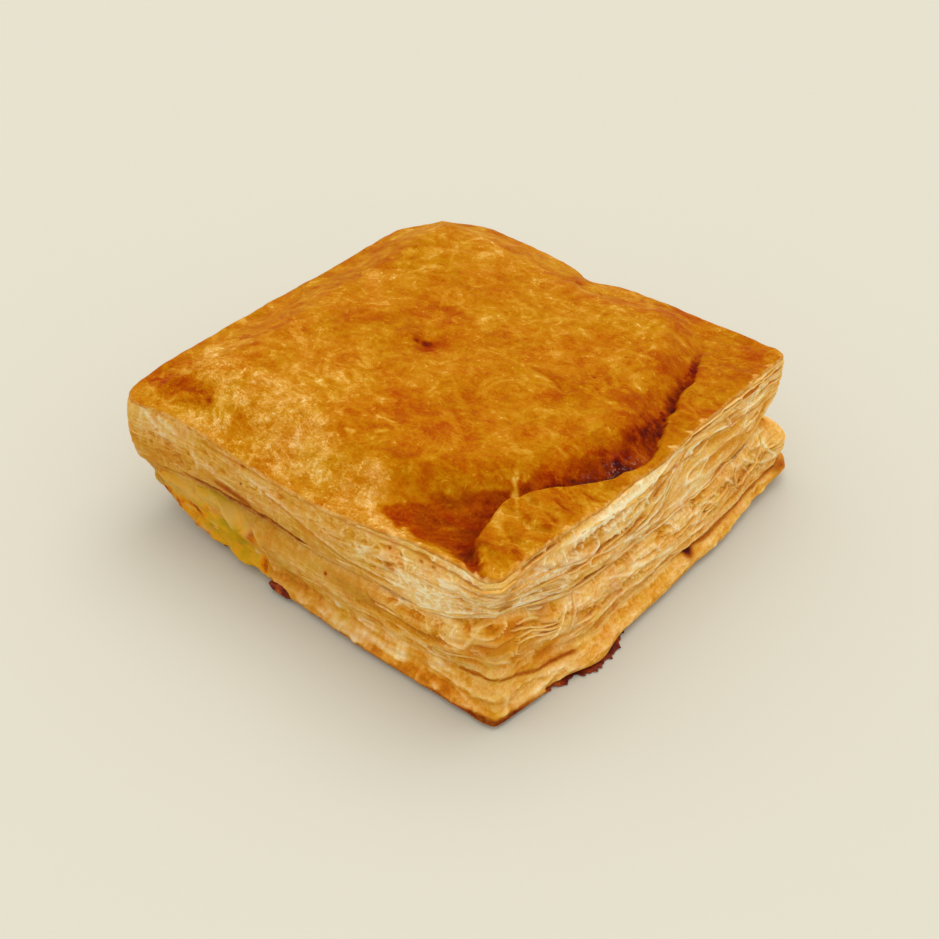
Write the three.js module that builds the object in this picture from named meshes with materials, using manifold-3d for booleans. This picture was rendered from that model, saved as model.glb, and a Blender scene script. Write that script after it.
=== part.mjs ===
// A ham and cheese pastry: two square sheets of puff pastry baked one on the other, with a slice
// of ham and a layer of cheese between them. The cheese has run out over the left-hand side and
// two bits of filling have leaked and burnt on to the foot.
// Millimetres, +Z up. The pastry lies on z = 0. -Y is the sealed side that the cheese runs down,
// +X is the side whose layers have sprung open. The "near" corner is at +X -Y.
import * as THREE from 'three';
import { mergeVertices } from 'three/addons/utils/BufferGeometryUtils.js';
import Module from 'manifold-3d';

const wasm = await Module();
wasm.setup();

// Driving sizes
const halfSide = 52; // half the side of the cut square
const cornerRadius = { near: 2.5, right: 3.2, back: 18, left: 4 };
const rimHeight = 34.2; // the browned edge above the table
const domeRise = 4.6; // the middle of the top above its edge
const domeShoulder = { sealed: 16, open: 10 }; // how far in the dome is at its full height
const seamHeight = 17.6; // where the two sheets meet
const fillingHalf = 1.7; // half the height of the flat pocket that holds the filling
const fillingShare = 0.885; // how much of the square the filling covers
const lipGap = 0.2; // half the gap between the sheets where their rims meet
const clearance = 0.35; // between any two pieces
const hamThick = 1.0;
const cheeseThick = 1.35;
const hamTab = { from: -37, to: 5, thick: 0.8 }; // where the ham's edge shows in the crease
const centreShift = new THREE.Vector3(-3.085, -0.28, 0); // puts the whole over the origin

// Mesh density
const columns = { side: 25, corner: 2, backCorner: 6 }; // round the edge
const upperRows = 10; // up the side of the upper sheet
const footRows = 4; // below the groove of the lower sheet
const tierRows = 6; // above it
const topRings = [0.97, 0.93, 0.88, 0.83, 0.78, 0.72, 0.64, 0.53, 0.38, 0.2];
const hiddenRings = [0.5, 0.905];

// Soft bumps and hollows: a centre in plan, a half-width each way, and how much is added there
const sum = (bumps, x, y) => bumps.reduce((total, b) =>
  total + b.add * Math.exp(-(((x - b.x) / b.wide) ** 2) - ((y - b.y) / b.deep) ** 2), 0);

const topBumps = [
  { x: 36, y: -53, wide: 14, deep: 3.4, add: 2.6 }, // the lip of the sealed side, drawn up
  { x: 55, y: -55, wide: 7, deep: 7, add: -2.2 }, // the tip of the near corner, drooping
  { x: -4, y: -56, wide: 27, deep: 13, add: -4.2 }, // the sealed side, sunk
  { x: 31, y: -41, wide: 8, deep: 5.5, add: -2.4 }, // the dark hollow inside the flap
  { x: -54, y: -54, wide: 14, deep: 14, add: -1.6 }, // the left corner, drawn down
  { x: -34, y: 34, wide: 18, deep: 16, add: 2.2 }, // the back corner, puffed
  { x: 54, y: 2, wide: 8, deep: 9, add: -1 }, // a dip in the open edge
  { x: 53, y: 30, wide: 8, deep: 22, add: 0.9 },
  { x: -2, y: 55, wide: 9, deep: 9, add: -1.8 }, // the tuck in the back edge
  { x: -7, y: -3, wide: 4.5, deep: 4, add: -1.3 }, // the dimple in the middle
  { x: -18, y: 8, wide: 26, deep: 26, add: 0.8 },
  { x: 6, y: 42, wide: 14, deep: 4, add: -1.1 }, // a long fold near the back edge
];
// The flap that lifts at the near corner: everything on the +X side of a slanting line
const flap = { x: 38.5, y: -38, slant: 0.25, rise: 2.9, step: 4, from: -34, to: -14 };
const seamBumps = [
  { x: 56, y: -54, wide: 14, deep: 17, add: 11.5 }, // the upper sheet lifts off the near corner
  { x: 28, y: -54, wide: 16, deep: 10, add: 2.6 },
  { x: 56, y: 8, wide: 10, deep: 17, add: -1.8 },
  { x: 54, y: 42, wide: 12, deep: 14, add: 1.4 },
  { x: -50, y: 30, wide: 12, deep: 22, add: 1.8 },
  { x: 6, y: 54, wide: 24, deep: 10, add: -1.7 },
];
// How far each level of the side stands out from the square
const rimPush = [
  { x: -54, y: -54, wide: 14, deep: 14, add: 1.2 },
  { x: -54, y: -20, wide: 12, deep: 40, add: 1.4 },
  { x: -2, y: 54, wide: 3.5, deep: 9, add: -2 },
  { x: 54, y: -30, wide: 9, deep: 12, add: 0.8 },
];
const seamPush = [
  { x: -54, y: -54, wide: 11, deep: 11, add: 2.2 },
  { x: -20, y: -53, wide: 20, deep: 9, add: -1.4 }, // the crease over the cheese
  { x: 52, y: 52, wide: 9, deep: 9, add: -3 }, // the open mouth at the right corner
  { x: 56, y: -44, wide: 9, deep: 12, add: -1.4 },
];
const footPush = [
  { x: 56, y: -4, wide: 14, deep: 44, add: 6 }, // the open side spreads at its foot
  { x: 56, y: -26, wide: 10, deep: 8, add: 1.6 },
  { x: 26, y: -54, wide: 24, deep: 10, add: 1.9 },
  { x: -54, y: -54, wide: 17, deep: 17, add: -3.6 }, // the left corner is tucked under
  { x: -24, y: -54, wide: 13, deep: 8, add: -2.3 }, // the bed of the cheese
  { x: 0, y: 54, wide: 40, deep: 10, add: 2.2 },
  { x: -54, y: 14, wide: 10, deep: 26, add: 1.6 },
  { x: 54, y: 54, wide: 12, deep: 12, add: 3.6 },
  { x: 54, y: -54, wide: 5, deep: 5, add: 0.6 },
];
const liftBumps = [
  { x: -54, y: -54, wide: 15, deep: 15, add: 8.5 }, // the left corner curls off the table
  { x: 58, y: 52, wide: 12, deep: 14, add: 2.2 },
  { x: -52, y: 52, wide: 13, deep: 13, add: 3 },
];
// How far the layers of the side have sprung apart: 0 sealed, 1 open
const openBumps = [
  { x: 54, y: 0, wide: 12, deep: 58, add: 0.85 },
  { x: 40, y: -54, wide: 17, deep: 9, add: 0.35 },
  { x: 6, y: 54, wide: 46, deep: 10, add: 0.5 },
  { x: -54, y: 12, wide: 10, deep: 34, add: 0.25 },
];
const mouth = { x: 54, y: 54, wide: 17, deep: 13, add: 1.5 }; // the sheets part at the right corner

// The crease that rings the dome on the open side, an arc seen in plan. It is a round groove.
const crease = { x: -3, y: 8, from: -68, to: 40, groove: 2.6, depth: 1.6, steps: 26 };
const creaseRadius = (angle) => 48.6 + 5.4 * (1 - smooth(-12, 12, angle))
  + 0.1 * Math.max(0, angle - 12, -36 - angle);

// The thin lip that runs along the foot of the sealed side
const baseLip = { from: -4, to: 50, height: 1.4, out: 1.3, groove: 3.9 };

// Hollows where the layers have come apart, each a squashed ball sunk into the side
const hollows = [
  { sheet: 'upper', x: 53.8, y: -1, z: 29.2, size: [3.2, 5.6, 1.5], tilt: 14 },
  { sheet: 'upper', x: 54.4, y: -20, z: 28.6, size: [3, 5, 2], tilt: 10 },
  { sheet: 'upper', x: 54.6, y: -36, z: 30.4, size: [3, 4.4, 1.5], tilt: 4 },
  { sheet: 'upper', x: 53.6, y: 20, z: 26.4, size: [3, 8, 1.5], tilt: -5 },
  { sheet: 'lower', x: 40, y: -54.6, z: 16.6, size: [6.2, 3.6, 2.2], tilt: 0 },
  { sheet: 'lower', x: 49, y: -55, z: 12.6, size: [4, 3, 1.7], tilt: 0 },
  { sheet: 'lower', x: 57.6, y: 18, z: 11, size: [3.4, 5.6, 2], tilt: -4 },
  { sheet: 'lower', x: 57.4, y: 34, z: 12.4, size: [3.4, 5, 2.2], tilt: 6 },
  { sheet: 'lower', x: 57.6, y: -9, z: 12.2, size: [3, 5, 1.6], tilt: 0 },
  { sheet: 'upper', x: 4, y: 53.6, z: 26, size: [7, 3, 1.7], tilt: 0 },
  { sheet: 'lower', x: -22, y: 56, z: 10.5, size: [6.4, 3.2, 1.8], tilt: 0 },
];

const hamLow = seamHeight - fillingHalf + 2 * clearance + cheeseThick;

const mix = THREE.MathUtils.lerp;
const smooth = (low, high, value) => THREE.MathUtils.smoothstep(value, low, high);

// A gentle wander along the edge, from -1 to 1, different for each row
const wander = (s, row) => 0.5 * Math.sin(0.13 * s + 2.1 * row) + 0.3 * Math.sin(0.29 * s + 3.7 * row)
  + 0.2 * Math.sin(0.53 * s + 5.3 * row);

// Inside the crease the dome rises from the crease, elsewhere from the edge of the square
function domeAt(x, y) {
  const inset = halfSide - Math.max(Math.abs(x), Math.abs(y));
  const angle = THREE.MathUtils.radToDeg(Math.atan2(y - crease.y, x - crease.x));
  const open = smooth(crease.from - 14, crease.from, angle) * (1 - smooth(crease.to, crease.to + 30, angle));
  const insideCrease = creaseRadius(angle) - Math.hypot(x - crease.x, y - crease.y);
  const risen = mix(inset, Math.min(inset, insideCrease), open);
  return domeRise * smooth(0, mix(domeShoulder.sealed, domeShoulder.open, open), risen);
}

function topAt(x, y) {
  const overLine = x - flap.x + flap.slant * (y - flap.y);
  const lifted = flap.rise * smooth(-flap.step, flap.step, overLine) * (1 - smooth(flap.from, flap.to, y));
  return rimHeight + domeAt(x, y) + lifted + sum(topBumps, x, y);
}

const seamAt = (x, y) => seamHeight + sum(seamBumps, x, y);
const openAt = (x, y) => 0.15 + sum(openBumps, x, y);

// The cut square: straight sides and four unlike corners
function squareOutline() {
  const path = new THREE.Path();
  const corners = [[1, -1, cornerRadius.near], [1, 1, cornerRadius.right], [-1, 1, cornerRadius.back],
    [-1, -1, cornerRadius.left]];
  corners.forEach(([x, y, radius], turn) => {
    const start = (turn - 1) * Math.PI / 2;
    path.absarc(x * (halfSide - radius), y * (halfSide - radius), radius, start, start + Math.PI / 2);
  });
  path.closePath();
  return path;
}

const outline = squareOutline();
const outlineLength = outline.getLength();

// A place on the edge: its plan position, the way out, and its distance round
function edgeAt(share) {
  const place = outline.getPointAt(share % 1);
  const tangent = outline.getTangentAt(share % 1);
  return { x: place.x, y: place.y, outX: tangent.y, outY: -tangent.x, s: share * outlineLength };
}

// Columns sit on both ends and in the middle of each corner, and evenly along each side
function columnShares() {
  const ends = outline.getCurveLengths();
  return ends.flatMap((end, curve) => {
    const corner = curve === 4 ? columns.backCorner : columns.corner;
    const count = curve % 2 ? columns.side : corner;
    const start = curve ? ends[curve - 1] : 0;
    return Array.from({ length: count }, (_, i) => mix(start, end, i / count) / outlineLength);
  });
}
const edge = columnShares().map(edgeAt);

// The share of the way round at which the sealed side is at a given x
const onSealedSide = (x) => 1 - (halfSide - cornerRadius.near - x) / outlineLength;

const pushed = (e, out, z) => new THREE.Vector3(e.x + e.outX * out, e.y + e.outY * out, z);

// The side of the upper sheet, from its lip (v = 0) to the browned edge (v = 1)
function upperSide(e, v, relief) {
  const mouthGap = sum([mouth], e.x, e.y);
  const low = seamAt(e.x, e.y) + lipGap + mouthGap;
  const high = topAt(e.x, e.y) - 0.9;
  const belly = 1.1 * Math.sin(Math.PI * v) - 0.7 * (1 - v);
  const out = belly + mix(sum(seamPush, e.x, e.y), sum(rimPush, e.x, e.y), v) + relief;
  return pushed(e, out, mix(low, high, v));
}

// The side of the lower sheet, from its foot (v = 0) past the groove to its lip (v = 1)
const grooveShare = (e) => 0.34 + 0.14 * Math.exp(-(((e.x - 52) / 12) ** 2) - ((e.y + 52) / 14) ** 2);
function lowerSide(e, v, relief) {
  const low = sum(liftBumps, e.x, e.y) + 0.5;
  const high = seamAt(e.x, e.y) - lipGap - sum([mouth], e.x, e.y);
  const groove = grooveShare(e);
  const flare = sum(footPush, e.x, e.y);
  const notch = -2.1 * openAt(e.x, e.y) * Math.exp(-(((v - groove) / 0.07) ** 2));
  const belly = v > groove ? 1.2 * Math.sin(Math.PI * (v - groove) / (1 - groove)) : 0;
  const out = mix(flare, 0.45 * flare, smooth(0, groove, v)) * (1 - 0.5 * smooth(groove, 1, v))
    + smooth(0.6, 1, v) * sum(seamPush, e.x, e.y) + notch + belly + relief;
  const z = mix(low, high, v);
  return pushed(e, out + lipPush(e, z), z);
}

function lipPush(e, z) {
  if (e.y > -40) return 0;
  const along = smooth(baseLip.from - 5, baseLip.from, e.x) * (1 - smooth(baseLip.to, baseLip.to + 5, e.x));
  const lip = Math.exp(-(((z - 0.5) / baseLip.height) ** 2));
  const groove = 0.8 * Math.exp(-(((z - baseLip.groove) / 1.3) ** 2));
  return baseLip.out * along * (lip - groove);
}

// Rows stand out and sink by turns: the layers of the pastry
function layerRelief(e, row) {
  const turn = row % 2 ? 0.55 : -0.85;
  return openAt(e.x, e.y) * turn * (1 + 0.5 * wander(e.s, row)) + 0.25 * wander(e.s, row + 9);
}

const inward = (ring, share, zAt) => ring.map((p) =>
  new THREE.Vector3(p.x * share, p.y * share, zAt(p.x * share, p.y * share)));

// A closed surface through a stack of rings, with a pole at each end. Rings run anticlockwise,
// from the pole underneath to the pole on top.
function closedSurface(bottomPole, rings, topPole) {
  const count = rings[0].length;
  const points = [bottomPole, ...rings.flat(), topPole];
  const last = points.length - 1;
  const index = [];
  const at = (ring, i) => 1 + ring * count + (i % count);
  for (let i = 0; i < count; i++) {
    index.push(0, at(0, i + 1), at(0, i));
    for (let r = 0; r + 1 < rings.length; r++) {
      index.push(at(r, i), at(r, i + 1), at(r + 1, i + 1), at(r, i), at(r + 1, i + 1), at(r + 1, i));
    }
    index.push(last, at(rings.length - 1, i), at(rings.length - 1, i + 1));
  }
  const geometry = new THREE.BufferGeometry().setFromPoints(points);
  geometry.setIndex(index);
  return geometry;
}

function solidOf(geometry) {
  const bare = geometry.clone();
  bare.deleteAttribute('normal');
  bare.deleteAttribute('uv');
  const merged = mergeVertices(bare, 1e-4);
  return new wasm.Manifold(new wasm.Mesh({
    numProp: 3,
    vertProperties: new Float32Array(merged.attributes.position.array),
    triVerts: new Uint32Array(merged.index.array),
  }));
}

function geometryOf(solid) {
  const mesh = solid.getMesh();
  const geometry = new THREE.BufferGeometry();
  geometry.setAttribute('position', new THREE.BufferAttribute(mesh.vertProperties, 3));
  geometry.setIndex(new THREE.BufferAttribute(mesh.triVerts, 1));
  return geometry;
}

function upperSheet() {
  const underneath = () => seamHeight + fillingHalf;
  const lip = edge.map((e) => upperSide(e, 0, 0));
  const rings = hiddenRings.map((share) => inward(lip, share, underneath));
  rings.push(inward(lip, 0.955, (x, y) => seamAt(x, y) + lipGap + 0.2 + sum([mouth], x, y)));
  for (let row = 0; row <= upperRows; row++) {
    const between = row > 0 && row < upperRows;
    rings.push(edge.map((e) => upperSide(e, row / upperRows, between ? layerRelief(e, row) : 0)));
  }
  const rim = rings[rings.length - 1];
  rings.push(rim.map((p) => new THREE.Vector3(p.x * 0.99, p.y * 0.99, p.z + 0.75)));
  topRings.forEach((share) => rings.push(inward(rim, share, topAt)));
  return closedSurface(new THREE.Vector3(0, 0, underneath()), rings, new THREE.Vector3(0, 0, topAt(0, 0)));
}

function lowerSheet() {
  const floorAt = (share) => (x, y) => (share > 0.9 ? sum(liftBumps, x, y) : 0);
  const onTop = () => seamHeight - fillingHalf;
  const foot = edge.map((e) => lowerSide(e, 0, 0));
  const rings = [0.5, 0.8, 0.95].map((share) => inward(foot, share, floorAt(share)));
  for (let row = 0; row <= footRows; row++) {
    const between = row % footRows !== 0;
    rings.push(edge.map((e) => lowerSide(e, grooveShare(e) * row / footRows, between ? layerRelief(e, row) : 0)));
  }
  for (let row = 1; row <= tierRows; row++) {
    rings.push(edge.map((e) => lowerSide(e, mix(grooveShare(e), 1, row / tierRows),
      row < tierRows ? layerRelief(e, row + 20) : 0)));
  }
  const lip = rings[rings.length - 1];
  rings.push(inward(lip, 0.955, (x, y) => seamAt(x, y) - lipGap - 0.2 - sum([mouth], x, y)));
  [...hiddenRings].reverse().forEach((share) => rings.push(inward(lip, share, onTop)));
  return closedSurface(new THREE.Vector3(0, 0, 0), rings, new THREE.Vector3(0, 0, onTop()));
}

// The crease as a round bar laid along its arc, thinner at both ends, to be cut out of the top
function creaseBar() {
  const rings = [];
  for (let i = 0; i <= crease.steps; i++) {
    const u = i / crease.steps;
    const angle = THREE.MathUtils.degToRad(mix(crease.from, crease.to, u));
    const reach = creaseRadius(mix(crease.from, crease.to, u)) + 0.7 * wander(46 * u, 6);
    const x = crease.x + reach * Math.cos(angle);
    const y = crease.y + reach * Math.sin(angle);
    const taper = Math.sin(Math.PI * (0.04 + 0.92 * u)) ** 0.6;
    const radius = crease.groove * taper * (1 + 0.18 * wander(80 * u, 4));
    const centre = topAt(x, y) + radius - crease.depth * radius / crease.groove;
    rings.push(Array.from({ length: 8 }, (_, k) => {
      const turn = 2 * Math.PI * k / 8;
      const out = 0.8 * radius * Math.cos(turn);
      const height = centre + radius * Math.sin(turn);
      return new THREE.Vector3(x + out * Math.cos(angle), y + out * Math.sin(angle), height);
    }).reverse());
  }
  return solidOf(closedSurface(middleOf(rings[0]), rings, middleOf(rings[rings.length - 1])));
}

function middleOf(ring) {
  return ring.reduce((total, p) => total.add(p), new THREE.Vector3()).divideScalar(ring.length);
}

// A squashed ball, for the hollows and the burnt bit
function ball(x, y, z, size, tiltAboutX = 0) {
  const geometry = new THREE.SphereGeometry(1, 12, 8);
  geometry.scale(...size);
  geometry.rotateX(THREE.MathUtils.degToRad(tiltAboutX));
  geometry.translate(x, y, z);
  return solidOf(geometry);
}

// A flat layer in the pocket between the sheets
function fillingLayer(low, thick) {
  const ring = edge.filter((_, i) => i % 2 === 0)
    .map((e) => new THREE.Vector2(e.x, e.y).multiplyScalar(fillingShare));
  const geometry = new THREE.ExtrudeGeometry(new THREE.Shape(ring), { depth: thick, bevelEnabled: false });
  geometry.translate(0, 0, low);
  return solidOf(geometry);
}

// The strip of the ham that runs out between the lips and shows as the dark line of the crease
function hamEdge(grow) {
  const width = hamTab.to - hamTab.from + 2 * grow;
  const points = [new THREE.Vector2(hamTab.to + grow, -40), new THREE.Vector2(hamTab.from - grow, -40)];
  const steps = 14;
  for (let i = 0; i <= steps; i++) {
    const x = hamTab.from - grow + width * i / steps;
    const e = edgeAt(onSealedSide(x));
    const inset = 0.45 + 1.6 * Math.abs(2 * i / steps - 1) ** 4 + 0.2 * wander(e.s, 2);
    points.push(new THREE.Vector2(x, e.y - sum(seamPush, e.x, e.y) + inset - grow));
  }
  const geometry = new THREE.ExtrudeGeometry(new THREE.Shape(points),
    { depth: hamTab.thick + 2 * grow, bevelEnabled: false });
  geometry.translate(0, 0, hamLow - grow);
  return solidOf(geometry);
}

// The cheese that has run out of the seam: it leaves the pocket over the lip of the lower sheet,
// clings to the side and ends in lobes just off the table
const tongue = { from: -33, to: -10.5, across: 14, down: 9, thick: 1.7, inside: 8 };
function cheeseTongue(grow) {
  const rows = [];
  for (let j = 0; j <= tongue.down + 2; j++) {
    const row = [];
    for (let i = 0; i <= tongue.across; i++) {
      const u = i / tongue.across;
      const e = edgeAt(onSealedSide(mix(tongue.from - grow, tongue.to + grow, u)));
      const fall = Math.max(0, j - 2) / tongue.down;
      const level = seamHeight - fillingHalf + clearance;
      let inner = pushed(e, -tongue.inside * (1 - j / 2) - 1.2, level);
      let outer = inner.clone();
      if (j >= 2) {
        const edgeThin = Math.sqrt(Math.sin(Math.PI * (0.06 + 0.88 * u)));
        const lobes = 0.14 * Math.cos(3 * Math.PI * u);
        const belly = Math.sin(Math.PI * Math.min(1, fall * 1.05)) ** 0.7;
        const swell = tongue.thick * edgeThin * (0.55 + 0.6 * belly);
        inner = lowerSide(e, 1 - fall * (0.8 + lobes), clearance + 0.25);
        outer = inner.clone().add(new THREE.Vector3(e.outX, e.outY, 0).multiplyScalar(0.3 + swell));
      }
      if (j <= 2) {
        inner.z = level - grow;
        outer.z = level + 0.9 + grow;
      }
      row.push([inner, outer]);
    }
    rows.push(row);
  }
  return solidOf(sandwich(rows));
}

// A closed solid between two faces of one grid, whose cells each hold a low and a high point
function sandwich(rows) {
  const down = rows.length;
  const across = rows[0].length;
  const points = rows.flat().flat();
  const at = (j, i, side) => 2 * (j * across + i) + side;
  const index = [];
  const quad = (a, b, c, d) => index.push(a, b, c, a, c, d);
  for (let j = 0; j + 1 < down; j++) {
    for (let i = 0; i + 1 < across; i++) {
      quad(at(j, i, 1), at(j + 1, i, 1), at(j + 1, i + 1, 1), at(j, i + 1, 1));
      quad(at(j, i, 0), at(j, i + 1, 0), at(j + 1, i + 1, 0), at(j + 1, i, 0));
    }
    quad(at(j, 0, 0), at(j + 1, 0, 0), at(j + 1, 0, 1), at(j, 0, 1));
    quad(at(j, across - 1, 1), at(j + 1, across - 1, 1), at(j + 1, across - 1, 0), at(j, across - 1, 0));
  }
  for (let i = 0; i + 1 < across; i++) {
    quad(at(0, i, 0), at(0, i, 1), at(0, i + 1, 1), at(0, i + 1, 0));
    quad(at(down - 1, i, 1), at(down - 1, i, 0), at(down - 1, i + 1, 0), at(down - 1, i + 1, 1));
  }
  const geometry = new THREE.BufferGeometry().setFromPoints(points);
  geometry.setIndex(index);
  return geometry;
}

// Filling that leaked at the foot of the open side and burnt: a thin ragged skirt on the table
const skirt = { near: -48, far: -10.5, inner: 50, least: 54.2, bulge: 5.6, thick: 1.1, teeth: 19 };
function burntSkirt(grow) {
  const shape = new THREE.Shape();
  shape.moveTo(skirt.inner - grow, skirt.near - grow);
  for (let i = 0; i <= skirt.teeth; i++) {
    const u = i / skirt.teeth;
    const y = mix(skirt.near - grow, skirt.far + grow, u);
    const reach = skirt.least + skirt.bulge * Math.sin(Math.PI * 0.72 * u) ** 1.6;
    const tooth = i > 0 && i < skirt.teeth ? 0.5 * wander(40 * i, 3) + (i % 3 === 0 ? 0.8 : -0.4) : 0;
    shape.lineTo(reach + tooth + 2 * grow, y);
  }
  shape.lineTo(skirt.inner - grow, skirt.far + grow);
  const geometry = new THREE.ExtrudeGeometry(shape, { depth: skirt.thick + grow, bevelEnabled: false });
  return solidOf(geometry);
}

const crumb = { x: -7.6, y: -52.4, z: 1.75, size: [4.3, 1.5, 1.25] };
const burntCrumb = (grow) => ball(crumb.x, crumb.y, crumb.z, crumb.size.map((r) => r + grow));

// The pieces, joined and cut
function cutHollows(solid, sheet) {
  return hollows.filter((h) => h.sheet === sheet)
    .reduce((rest, h) => rest.subtract(ball(h.x, h.y, h.z, h.size, h.tilt)), solid);
}

const upper = cutHollows(solidOf(upperSheet()), 'upper')
  .subtract(creaseBar())
  .subtract(hamEdge(clearance))
  .subtract(cheeseTongue(clearance));
const lower = cutHollows(solidOf(lowerSheet()), 'lower')
  .subtract(hamEdge(clearance))
  .subtract(cheeseTongue(clearance))
  .subtract(burntSkirt(clearance))
  .subtract(burntCrumb(clearance));
const cheese = fillingLayer(seamHeight - fillingHalf + clearance, cheeseThick)
  .add(cheeseTongue(0));
const ham = fillingLayer(hamLow, hamThick)
  .add(hamEdge(0));

const colours = {
  upper_sheet: ['#d08a2e', 0.42],
  lower_sheet: ['#dfb777', 0.6],
  cheese: ['#dfae3a', 0.35],
  ham_slice: ['#b8584a', 0.5],
  burnt_skirt: ['#5a2310', 0.45],
  burnt_crumb: ['#5e1d12', 0.4],
};

const pastry = new THREE.Group();
function addPiece(name, solid) {
  const [color, roughness] = colours[name];
  const material = new THREE.MeshStandardMaterial({ color, roughness, metalness: 0 });
  const mesh = new THREE.Mesh(geometryOf(solid), material);
  mesh.name = name;
  mesh.position.copy(centreShift);
  pastry.add(mesh);
}
addPiece('upper_sheet', upper);
addPiece('lower_sheet', lower);
addPiece('cheese', cheese);
addPiece('ham_slice', ham);
addPiece('burnt_skirt', burntSkirt(0));
addPiece('burnt_crumb', burntCrumb(0));

export default pastry;
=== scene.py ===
import math

import bmesh
import bpy
import numpy as np
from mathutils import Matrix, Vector


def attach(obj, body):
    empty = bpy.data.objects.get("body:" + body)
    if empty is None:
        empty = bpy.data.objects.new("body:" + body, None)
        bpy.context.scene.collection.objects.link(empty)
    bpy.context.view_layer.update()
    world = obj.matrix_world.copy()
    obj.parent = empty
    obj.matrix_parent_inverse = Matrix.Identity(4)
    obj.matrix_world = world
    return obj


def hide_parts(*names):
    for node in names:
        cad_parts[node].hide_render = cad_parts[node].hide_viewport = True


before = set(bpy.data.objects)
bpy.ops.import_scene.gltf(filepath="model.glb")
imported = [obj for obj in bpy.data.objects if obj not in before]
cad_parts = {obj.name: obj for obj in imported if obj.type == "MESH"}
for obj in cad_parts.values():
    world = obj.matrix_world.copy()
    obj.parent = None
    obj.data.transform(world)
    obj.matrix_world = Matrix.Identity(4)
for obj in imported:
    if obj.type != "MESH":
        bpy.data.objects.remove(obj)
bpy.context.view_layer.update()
mm = 0.001
print("stage: frame loaded")

# The baked square, in millimetres, with the solids' own sizes. Bumps are (x, y, wide, deep, add).
pastry = {
    "halfSide": 52, "rimHeight": 34.2, "domeRise": 4.6, "seamHeight": 17.6, "fillingHalf": 1.7,
    "corners": ((1, -1, 2.5), (1, 1, 3.2), (-1, 1, 18), (-1, -1, 4)),  # which way x and y, radius
    "domeShoulder": (16, 10),  # sealed side, open side
    "shift": (-3.085, -0.28),
    "top": (
        (36, -53, 14, 3.4, 2.6), (55, -55, 7, 7, -2.2), (-4, -56, 27, 13, -4.2), (31, -41, 8, 5.5, -2.4),
        (-54, -54, 14, 14, -1.6), (-34, 34, 18, 16, 2.2), (54, 2, 8, 9, -1), (53, 30, 8, 22, 0.9),
        (-2, 55, 9, 9, -1.8), (-7, -3, 4.5, 4, -1.3), (-18, 8, 26, 26, 0.8), (6, 42, 14, 4, -1.1),
        (-45, 45, 9, 9, -1.4),
    ),
    "flap": {"x": 38.5, "y": -38, "slant": 0.25, "rise": 2.9, "step": 4, "near": -34, "far": -14},
    "seam": (
        (56, -54, 14, 17, 11.5), (28, -54, 16, 10, 2.6), (56, 8, 10, 17, -1.8), (54, 42, 12, 14, 1.4),
        (-50, 30, 12, 22, 1.8), (6, 54, 24, 10, -1.7),
    ),
    "rimPush": (
        (-54, -54, 14, 14, 1.2), (-54, -20, 12, 40, 1.4), (-2, 54, 3.5, 9, -2), (54, -30, 9, 12, 0.8),
    ),
    "seamPush": (
        (-54, -54, 11, 11, 2.2), (-20, -53, 20, 9, -1.4), (52, 52, 9, 9, -3), (56, -44, 9, 12, -1.4),
    ),
    "footPush": (
        (56, -4, 14, 44, 6), (56, -26, 10, 8, 1.6), (26, -54, 24, 10, 1.9), (-54, -54, 17, 17, -3.6),
        (-24, -54, 13, 8, -2.3), (0, 54, 40, 10, 2.2), (-54, 14, 10, 26, 1.6), (54, 54, 12, 12, 3.6),
        (54, -54, 5, 5, 0.6), (56, -26, 10, 6, 1.5), (56, 28, 10, 12, 1.3), (57, 51, 9, 8, -1.6),
        (54, -54, 6, 6, -1.4),
    ),
    "tierPush": ((56, 50, 12, 9, 0.6),),
    "lift": ((-54, -54, 15, 15, 8.5), (58, 52, 12, 14, 2.2), (-52, 52, 13, 13, 3), (57, 2, 6, 40, 0.8)),
    "open": ((54, 0, 12, 58, 0.85), (40, -54, 17, 9, 0.6), (6, 54, 46, 10, 0.5), (-54, 12, 10, 34, 0.25)),
    "mouth": ((54, 54, 17, 13, 1.5),),
    "groove": ((52, -52, 12, 14, 0.14),),
    "crease": {"x": -3, "y": 8, "near": -68, "far": 40},
}

# Smooth random fields, the same on every run
noiseTable = np.random.RandomState(11).rand(65536) * 2 - 1


def noise(x, y, z=0.0):
    x, y, z = np.broadcast_arrays(np.asarray(x, float), y, z)
    ix, iy, iz = (np.floor(c).astype(np.int64) for c in (x, y, z))
    fx, fy, fz = x - ix, y - iy, z - iz
    fx, fy, fz = (f * f * (3 - 2 * f) for f in (fx, fy, fz))
    total = 0.0
    for dx in (0, 1):
        for dy in (0, 1):
            for dz in (0, 1):
                spot = ((ix + dx) * 73856093) ^ ((iy + dy) * 19349663) ^ ((iz + dz) * 83492791)
                part = (fx if dx else 1 - fx) * (fy if dy else 1 - fy) * (fz if dz else 1 - fz)
                total = total + part * noiseTable[spot & 65535]
    return total


def cloud(x, y, z=0.0, octaves=3):
    return sum(noise(x * 2**k, y * 2**k, z + 17 * k) / 2**k for k in range(octaves)) / 1.6


def smooth(low, high, value):
    t = np.clip((np.asarray(value, float) - low) / (high - low), 0, 1)
    return t * t * (3 - 2 * t)


def mix(a, b, share):
    return a + (b - a) * share


# A soft line wherever a field passes through zero: drawn lines, and threads like webs of dough
def bell(field, width):
    return np.exp(-((field / width) ** 2))


def bumps(rows, x, y):
    return sum(
        add * np.exp(-(((x - bx) / wide) ** 2) - ((y - by) / deep) ** 2) for bx, by, wide, deep, add in rows)


def jittered(x, y, amount, size, seed, otherSeed):
    byX, byY = (amount * noise(x / size, y / size, z) for z in (seed, otherSeed))
    return x + byX, y + byY


def pairs(row):  # the points of a drawn line, which a row gives as x, y, x, y
    return list(zip(row[::2], row[1::2]))


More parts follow.
